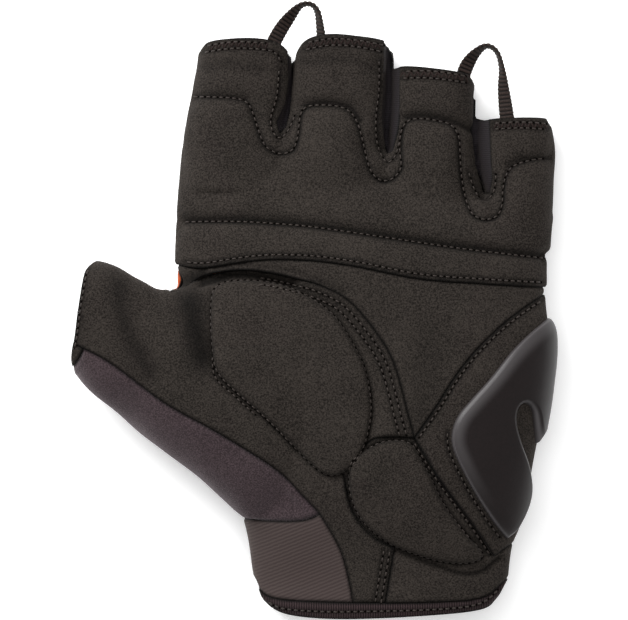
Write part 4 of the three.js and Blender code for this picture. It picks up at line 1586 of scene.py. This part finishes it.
@dataclass
class ClothPad:
    """A padded part of the palm, quilted down round its outline. Lengths are in millimetres."""

    name: str
    outline: Points
    crown: float
    reach: float
    seat: float
    sunk: float = 0.75
    hem_rise: float = 0.55
    hem_width: float = 0.8
    under: float = 0.95
    least: float = 0.15
    uneven: float = 0.08
    uneven_size: float = 8.0
    uneven_seed: int = 11

    def shell(self, form: Skin) -> Skin:
        """The pad's crowned piece of suede on its filling.

        Args:
            form: The closed skin of the hand.

        Returns:
            The closed piece.
        """
        top = form.clipped(form.normals[:, 2] - 0.1)
        top = top.clipped(depth_inside(top.points, self.outline)).largest()
        inside = depth_inside(top.points, self.outline)
        hem = ease(inside, 0, self.hem_width)
        outer = self.seat - self.sunk + self.hem_rise * hem + self.crown * quarter_round(inside, self.reach)
        uneven = unevenness(top.points, self.uneven_size, self.uneven_seed)
        outer += self.uneven * uneven * ease(inside, 0, CALM_WIDTH)
        # Painted shade along the quilted outline, where the cloth dips to the stitches
        top.marks = {"groove": 0.8 * (1 - hem)}
        inner = np.full(len(outer), self.seat - self.under)
        return top.thickened(outer, np.minimum(inner, outer - self.least))


@dataclass
class MouldedPad:
    """The moulded rubber pad, a leaf with a rolled rim and a bevel along its palm edge.

    The bevel is a crown that rises over its width. A band of painted highlight, standing for the key
    light's reflection, lies on it along the palm edge and dies out towards the heel, and a thin line of
    painted highlight runs along the rim. Lengths are in millimetres, but for the band's end, which is in
    shares of the pad's height.
    """

    outline: Points
    palm_edge: Points
    wall: float = 0.95
    wall_width: float = 0.45
    lip: float = 0.08
    lip_at: float = 0.7
    lip_width: float = 0.42
    # where the thin line of painted highlight along the rim lies, and how wide it is
    rim_at: float = 0.35
    rim_width: float = 0.3
    crown: float = 1.2
    crown_width: float = 4.4
    notch_crown: float = 0.3
    notch_width: float = 2.2
    # the band of painted highlight on the bevel: its strength, how far from the palm edge it fades, and
    # where along the pad's height it grows in
    band: float = 0.5
    band_edge: tuple[float, float] = (1.4, 4.4)
    band_end: tuple[float, float] = (0.1, 0.45)
    seat: float = 0.25
    under: float = 0.05
    margin: float = 1.5
    name: str = "moulded_pad"

    def shell(self, form: Skin) -> Skin:
        """The pad as one closed piece on the side band.

        Args:
            form: The closed skin of the hand.

        Returns:
            The closed piece.
        """
        near = form.clipped(depth_inside(form.points, self.outline) + self.margin)
        near = near.clipped(near.normals[:, 2] - 0.05).largest().finer()
        leaf = near.clipped(depth_inside(near.points, self.outline)).largest()
        inside = depth_inside(leaf.points, self.outline)
        to_palm = distance_to(leaf.points, self.palm_edge)
        from_palm = np.clip(to_palm / self.crown_width, 0, 1)
        from_edge = np.clip(inside / self.notch_width, 0, 1)
        crown = self.crown * (1 - (1 - from_palm) ** 2) * np.clip(from_edge * 2, 0, 1)
        crown += self.notch_crown * (1 - (1 - from_edge) ** 2)
        lip = self.lip * falloff(inside - self.lip_at, self.lip_width)
        outer = self.seat + self.wall * quarter_round(inside, self.wall_width) + lip + crown
        low, high = self.outline[:, 1].min(), self.outline[:, 1].max()
        # Painted highlight for the rim mark: the band on the bevel near the palm edge, dying out towards
        # the heel, and a thin line along the rim
        band = self.band * (1 - ease(to_palm, *self.band_edge))
        band *= ease((leaf.points[:, 1] - low) / (high - low), *self.band_end)
        rim = np.maximum(falloff(inside - self.rim_at, self.rim_width), band)
        leaf.marks = {"groove": np.zeros(len(outer)), "rim": rim}
        return leaf.thickened(outer, np.full(len(outer), self.under))


@dataclass
class PullLoop:
    """A loop of ribbed tape between two stalls' mouths, for pulling the mitt off."""

    name: str
    start: str
    end: str
    chosen: tuple[tuple[Share, float, float], ...]
    width: float = 4.2
    thickness: float = 1.1
    tuck: float = 4.0
    clearance: float = 0.3
    rib: float = 1.15
    rib_rise: float = 0.22
    # how dark the painted shade between the ribs is, and how much of it each rib's crest takes off
    shade: float = 1.4
    gleam: float = 1.7
    steps: int = 40
    ring_points: int = 28

    def path(self) -> tuple[Points, Points]:
        """Lays the tape's middle line from inside one stall's mouth to inside the next.

        Returns:
            The line's points in the form's own frame, and the tape's turn about it in radians.
        """
        ends = [self.chosen[0], self.chosen[-1]]
        middle = []
        for stall, (at, _, turn) in zip((self.start, self.end), ends):
            angle = math.radians(turn)
            half = (self.width * math.sin(angle) + self.thickness * math.cos(angle)) / 2
            middle.append(stall_height(stall, at, -WALL) - self.clearance - half)
        inward = np.array([0, -self.tuck])
        plan = place([row[0] for row in self.chosen])
        plan = np.vstack([plan[:1] + inward, plan, plan[-1:] + inward])
        rise = np.array([0, *(row[1] for row in self.chosen), 0]) * FINGER_DEPTH
        rise[0], rise[-1] = rise[1], rise[-2]
        turn = np.array([ends[0][2], *(row[2] for row in self.chosen), ends[1][2]], float)
        share = np.linspace(0, 1, len(plan))
        z = middle[0] * (1 - share) + middle[1] * share + rise
        rows = smooth_line(np.column_stack([plan, z, turn]), self.steps)
        return rows[:, :3], np.radians(rows[:, 3])

    def tape(self, shift: Points) -> bpy.types.Object:
        """The tape, with a rib across it at every weft cord.

        Args:
            shift: From the middle of the palm to the frame's origin, in the plane.

        Returns:
            The tape as one piece.
        """
        middle, turn = self.path()
        middle = middle + (*shift, 0)
        along = unit(np.gradient(middle, axis=0))
        reach = reach_along(middle)
        flat = unit(np.column_stack([leftward(along), np.zeros(len(along))]))
        up = np.cross(along, flat)
        wide = flat * np.cos(turn)[:, None] + up * np.sin(turn)[:, None]
        thick = np.cross(along, wide)
        around = np.linspace(0, math.tau, self.ring_points, endpoint=False)
        u, v = (np.sign(w) * np.abs(w) ** 0.5 for w in (np.cos(around), np.sin(around)))
        swell = np.abs(np.sin(math.pi * reach / self.rib)) ** 1.2
        rib = swell[:, None] * self.rib_rise
        side = u[None, :] * (self.width / 2 - 0.1 + 0.5 * rib)
        face = v[None, :] * (self.thickness / 2 - self.rib_rise + rib)
        points = middle[:, None] + wide[:, None] * side[..., None] + thick[:, None] * face[..., None]
        piece = mesh_object(f"{self.name}_tape", *closed_tube(points))
        # Painted shade between the ribs, lifted off their crests
        add_mark(piece, "groove", np.repeat(self.shade - self.gleam * swell, len(around)))
        return piece


def stall_height(name: str, at: Share, grow: float) -> float:
    """The height of a stall's palm side over a point.

    Args:
        name: The finger's name.
        at: The point, as shares.
        grow: How far out from the form to read it, in millimetres.

    Returns:
        The height, in millimetres.
    """
    x, y = place([at])[0]
    table = np.array([section.row() for section in FINGERS[name]])
    order = np.argsort(table[:, 1])
    start, end, bottom, top = (np.interp(y, table[order, 1], table[order, k]) for k in (0, 2, 4, 5))
    aside = min(abs(x - (start + end) / 2) / ((end - start) / 2 + grow), 1)
    widest = bottom + (top - bottom) * WIDEST_AT
    return widest + (1 - aside**ROUNDNESS) ** (1 / ROUNDNESS) * (top + grow - widest)


LOOPS = (
    PullLoop(
        "index_pull_loop", "index", "middle",
        (((-0.111, 0.45), 0, 0), ((-0.092, 0.476), 0.04, 15), ((-0.062, 0.503), 0.08, 45),
         ((-0.033, 0.522), 0.1, 75), ((-0.005, 0.524), 0.1, 82), ((0.012, 0.512), 0.09, 75),
         ((0.019, 0.488), 0.04, 65), ((0.024, 0.457), 0, 55)),
    ),
    PullLoop(
        "ring_pull_loop", "ring", "little",
        (((0.404, 0.391), 0, 0), ((0.418, 0.419), 0.03, 20), ((0.442, 0.441), 0.08, 55),
         ((0.472, 0.453), 0.1, 78), ((0.499, 0.443), 0.1, 82), ((0.513, 0.415), 0.06, 75),
         ((0.518, 0.378), 0.03, 45), ((0.529, 0.319), 0, 10)),
    ),
)


@dataclass
class Stitching:
    """The stitches of the mitt, each a short piece of thread that dips into the cloth."""

    ground: BVHTree
    pitch: float = 1.85
    length: float = 1.3
    radius: float = 0.23
    pit_radius: float = 0.36
    sides: int = 8
    rings: int = 7
    step: float = 1.4
    bulge: float = 1.5
    sunk: float = 0.75

    def hole(self, line: Points, reach: Points, at: float) -> Points | None:
        """A needle hole on the cloth.

        Args:
            line: The row's line.
            reach: How far along it each of its points lies.
            at: How far along it the hole is.

        Returns:
            The hole's place, or nothing where no cloth lies under the line.
        """
        x, y = (np.interp(at, reach, line[:, axis]) for axis in (0, 1))
        hit = self.ground.ray_cast(Vector((x, y, SKY)), Vector((0, 0, -1)))[0]
        return None if hit is None else np.array([x, y, hit.z])

    def joins(self, start: Points | None, end: Points | None) -> bool:
        """Whether one thread can run between two holes, with no step in the cloth."""
        return start is not None and end is not None and abs(start[2] - end[2]) <= self.step

    def thread(self, start: Points, end: Points) -> tuple[Points, Points]:
        """One stitch between two needle holes.

        Args:
            start: The first hole, on the cloth.
            end: The second hole.

        Returns:
            Its points and faces.
        """
        share = np.linspace(0, 1, self.rings)
        along = (end - start) / np.linalg.norm(end - start)
        aside = np.array([-along[1], along[0], 0]) / np.hypot(along[0], along[1])
        up = np.cross(aside, along) * -1
        up = up if up[2] > 0 else -up
        lift = self.radius * (self.bulge * np.sin(math.pi * share) ** 0.6 - self.sunk)
        middle = start + (end - start) * share[:, None] + up * lift[:, None]
        size = self.radius * np.sqrt(np.clip(1 - (2 * share - 1) ** 4, 0.05, 1))
        around = np.linspace(0, math.tau, self.sides, endpoint=False)
        ring = np.cos(around)[:, None] * aside + np.sin(around)[:, None] * up
        points = middle[:, None] + ring[None] * size[:, None, None]
        corners = np.arange(self.sides)
        body = ring_faces(self.rings, self.sides)
        triangles = np.vstack([body[:, [0, 1, 2]], body[:, [0, 2, 3]]])
        low = np.stack([np.zeros(self.sides - 2, int), corners[2:], corners[1:-1]], 1)
        last = (self.rings - 1) * self.sides
        high = last + np.stack([np.zeros(self.sides - 2, int), corners[1:-1], corners[2:]], 1)
        return points.reshape(-1, 3), np.vstack([triangles, low, high])

    def pit(self, at: Points) -> tuple[Points, Points]:
        """The pit round one needle hole, as a low closed dimple on the cloth.

        Args:
            at: The hole's place.

        Returns:
            Its points and faces.
        """
        around = np.linspace(0, math.tau, self.sides, endpoint=False)
        ring = np.column_stack([np.cos(around), np.sin(around), np.zeros(self.sides)]) * self.pit_radius
        rims = [at + ring + (0, 0, 0.02), at + ring * 0.6 + (0, 0, 0.09)]
        points = np.vstack([*rims, [at + (0, 0, 0.1)], [at - (0, 0, 0.3)]])
        low = np.arange(self.sides)
        ahead = (low + 1) % self.sides
        high, top, bottom = low + self.sides, 2 * self.sides, 2 * self.sides + 1
        faces = [
            np.stack([low, ahead, ahead + self.sides], 1),
            np.stack([low, ahead + self.sides, high], 1),
            np.stack([high, ahead + self.sides, np.full(self.sides, top)], 1),
            np.stack([ahead, low, np.full(self.sides, bottom)], 1),
        ]
        return points, np.vstack(faces)

    def zigzag(self, name: str, low: Points, high: Points, pitch: float) -> bpy.types.Object:
        """The threads that cross to and fro between two rows of a cover stitch.

        Args:
            name: The new piece's name.
            low: The first row's line.
            high: The second row's line.
            pitch: How far apart the crossings are, in millimetres.

        Returns:
            The threads.
        """
        pair = [(line, reach_along(line)) for line in (low, high)]
        count = int(pair[0][1][-1] / pitch)
        holes = []
        for k in range(count + 1):
            line, reach = pair[k % 2]
            holes.append(self.hole(line, reach, reach[-1] * k / count))
        threads = [self.thread(a, b) for a, b in zip(holes[:-1], holes[1:]) if self.joins(a, b)]
        return joined(name, threads)

    def rows(
        self, name: str, rows: Sequence[StitchRow], pattern: Pattern
    ) -> tuple[bpy.types.Object, bpy.types.Object]:
        """Sews the rows of one panel as one piece.

        Args:
            name: The panel's name.
            rows: Its rows of stitches.
            pattern: The mitt's pattern.

        Returns:
            The threads, and the pits where they enter the cloth.
        """
        threads, pits = [], []
        for row in rows:
            line = row.line(pattern)
            if row.closed:
                line = np.vstack([line, line[:1]])
            reach = reach_along(line)
            count = max(round(reach[-1] / self.pitch), 1)
            pitch = reach[-1] / count
            for k in range(count):
                start, end = (
                    self.hole(line, reach, (k + 0.5) * pitch + side * self.length) for side in (-0.5, 0.5)
                )
                if self.joins(start, end):
                    threads.append(self.thread(start, end))
                    pits.append(self.pit(end + (end - start) * (pitch / self.length - 1) / 2))
        return joined(f"{name}_stitches", threads), joined(f"{name}_needle_pits", pits)


def gathered(parts: Iterable[tuple[Points, Points]]) -> tuple[Points, Points]:
    """Puts the points and faces of many parts into one table each.

    Args:
        parts: The points and faces of each part.

    Returns:
        All points, and all faces with their corners numbered anew.
    """
    points, faces, total = [], [], 0
    for part, part_faces in parts:
        points.append(part)
        faces.append(part_faces + total)
        total += len(part)
    return np.vstack(points), np.vstack(faces)


def joined(name: str, parts: Sequence[tuple[Points, Points]]) -> bpy.types.Object:
    """Makes one object from many small closed parts.

    Args:
        name: The piece's name.
        parts: The points and faces of each part.

    Returns:
        The new object.
    """
    return mesh_object(name, *gathered(parts))


@dataclass
class Studio:
    """A pale floor, soft lights and the camera over the palm."""

    view_width: float = 0.179
    palm_height: float = 0.015
    lens: float = 300.0
    sensor: float = 36.0
    floor_size: float = 3.0
    floor_gap: float = 0.02

    def floor(self) -> None:
        """Lays the floor, a white table lit a little from below so that shadows stay pale."""
        size = self.floor_size / MM
        corners = [(-size, -size), (size, -size), (size, size), (-size, size)]
        points = [(x, y, -self.floor_gap) for x, y in corners]
        piece = mesh_object("floor", points, [[0, 1, 2, 3]])
        material = bpy.data.materials.new("Backlit_White_Acrylic")
        material.use_nodes = True
        shader = material.node_tree.nodes["Principled BSDF"]
        shader.inputs["Base Color"].default_value = linear("#fafafa")
        shader.inputs["Roughness"].default_value = 0.9
        shader.inputs["Specular IOR Level"].default_value = 0.1
        shader.inputs["Emission Color"].default_value = linear("#ffffff")
        shader.inputs["Emission Strength"].default_value = 0.25
        piece.data.materials.append(material)
        piece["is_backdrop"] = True

    def light(self, name: str, place: Vector, size: float, watts: float, mirrored: bool = True) -> None:
        """Hangs one soft square light that faces the mitt.

        Args:
            name: The light's name.
            place: Where it hangs, in metres.
            size: Its width, in metres.
            watts: Its power.
            mirrored: Whether glossy faces mirror it.
        """
        lamp = bpy.data.lights.new(name, "AREA")
        lamp.size = size
        lamp.energy = watts
        piece = bpy.data.objects.new(name, lamp)
        bpy.context.scene.collection.objects.link(piece)
        piece.location = place
        piece.rotation_euler = (-place).to_track_quat("-Z", "Y").to_euler()
        piece.visible_glossy = mirrored

    def lights(self) -> None:
        """Hangs the lights and sets the world's even light."""
        self.light("key_light", Vector((-0.42, 0.52, 0.44)), 0.42, 7.2)
        self.light("top_light", Vector((0.0, 0.3, 1.2)), 1.0, 8.5, mirrored=False)
        self.light("fill_light", Vector((0.9, -0.55, 0.34)), 0.4, 1.9, mirrored=False)
        world = bpy.data.worlds.new("studio")
        world.use_nodes = True
        background = world.node_tree.nodes["Background"]
        background.inputs["Color"].default_value = linear("#ffffff")
        background.inputs["Strength"].default_value = 0.45
        bpy.context.scene.world = world
        bpy.context.scene.view_settings.view_transform = "Standard"

    def camera(self) -> None:
        """Hangs the camera straight over the middle of the palm."""
        lens = bpy.data.cameras.new("camera")
        lens.lens = self.lens
        lens.sensor_width = self.sensor
        lens.clip_start = 0.05
        camera = bpy.data.objects.new("camera", lens)
        bpy.context.scene.collection.objects.link(camera)
        away = self.view_width * self.lens / self.sensor
        camera.location = (0, 0, self.palm_height + away)
        bpy.context.scene.camera = camera


def ground_of(pieces: Sequence[bpy.types.Object]) -> BVHTree:
    """One searchable surface of several pieces, in millimetres.

    Args:
        pieces: The pieces, whose faces are triangles.

    Returns:
        The surface, for rays to meet.
    """
    parts = []
    for piece in pieces:
        mesh = piece.data
        corners = np.zeros(len(mesh.vertices) * 3)
        mesh.vertices.foreach_get("co", corners)
        loops = np.zeros(len(mesh.loops), np.int32)
        mesh.loops.foreach_get("vertex_index", loops)
        parts.append((corners.reshape(-1, 3) / MM, loops.reshape(-1, 3)))
    points, faces = gathered(parts)
    return BVHTree.FromPolygons(points.tolist(), faces.tolist())


LOW_CORNER = (-0.657, -0.529)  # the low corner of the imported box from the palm's middle, as shares


def main() -> None:
    """Builds the mitt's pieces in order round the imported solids."""
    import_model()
    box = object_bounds()
    shift = np.array([box[0].x, box[0].y]) / MM - place([LOW_CORNER])[0]
    wardrobe = Wardrobe()
    pattern = Pattern(shift)
    form = HandForm().skin(shift)
    log.info("form: %d points", len(form.points))

    shown = []
    for name, skin in pattern.panels(form).items():
        relief = Relief(skin, CUTS[name])
        for row in STITCHES.get(name, ()):
            relief.sew(row, pattern)
        for fold in FOLDS.get(name, ()):
            relief.fold(fold, shift)
        for pad, host in SUEDE_PADS.items():
            if name == host:
                relief.sew(STITCHES[pad][0], pattern)
                relief.sink_under(pattern.pad[pad])
        piece = skin_object(f"{name}_cloth", relief.shell())
        if name in FINISHES:
            wardrobe.stand_for(piece, name)
        else:
            wardrobe.dress(piece, SUEDE)
        shown.append(piece)

    pads = (
        ClothPad("thenar_pad", pattern.pad["thenar_pad"], 1.6, 8.0, CUTS["thumb_panel"].seat),
        ClothPad("heel_pad", pattern.pad["heel_pad"], 1.4, 6.0, CUTS["heel_panel"].seat),
        MouldedPad(pattern.pad["moulded_pad"], pattern.edge["moulded_edge"]),
    )
    for pad in pads:
        piece = skin_object(f"{pad.name}_cover", pad.shell(form))
        wardrobe.stand_for(piece, pad.name)
        shown.append(piece)

    for loop in LOOPS:
        wardrobe.stand_for(loop.tape(shift), loop.name)

    stitching = Stitching(ground_of(shown))
    for name, rows_here in STITCHES.items():
        threads, pits = stitching.rows(name, rows_here, pattern)
        wardrobe.dress(threads, THREAD)
        # The pits wear near-black painted shade for the needle holes
        wardrobe.dress(pits, PIT_SHADE)
    for name, pair in COVERED_HEMS.items():
        lines = [smooth_line(place(chosen)) + shift for chosen in pair]
        wardrobe.dress(stitching.zigzag(f"{name}_cover_stitch", *lines, COVER_PITCH), COVER_THREAD)

    studio = Studio()
    studio.floor()
    studio.lights()
    studio.camera()


if __name__ == "__main__":
    logging.basicConfig(level=logging.INFO, format="%(name)s: %(message)s")
    main()
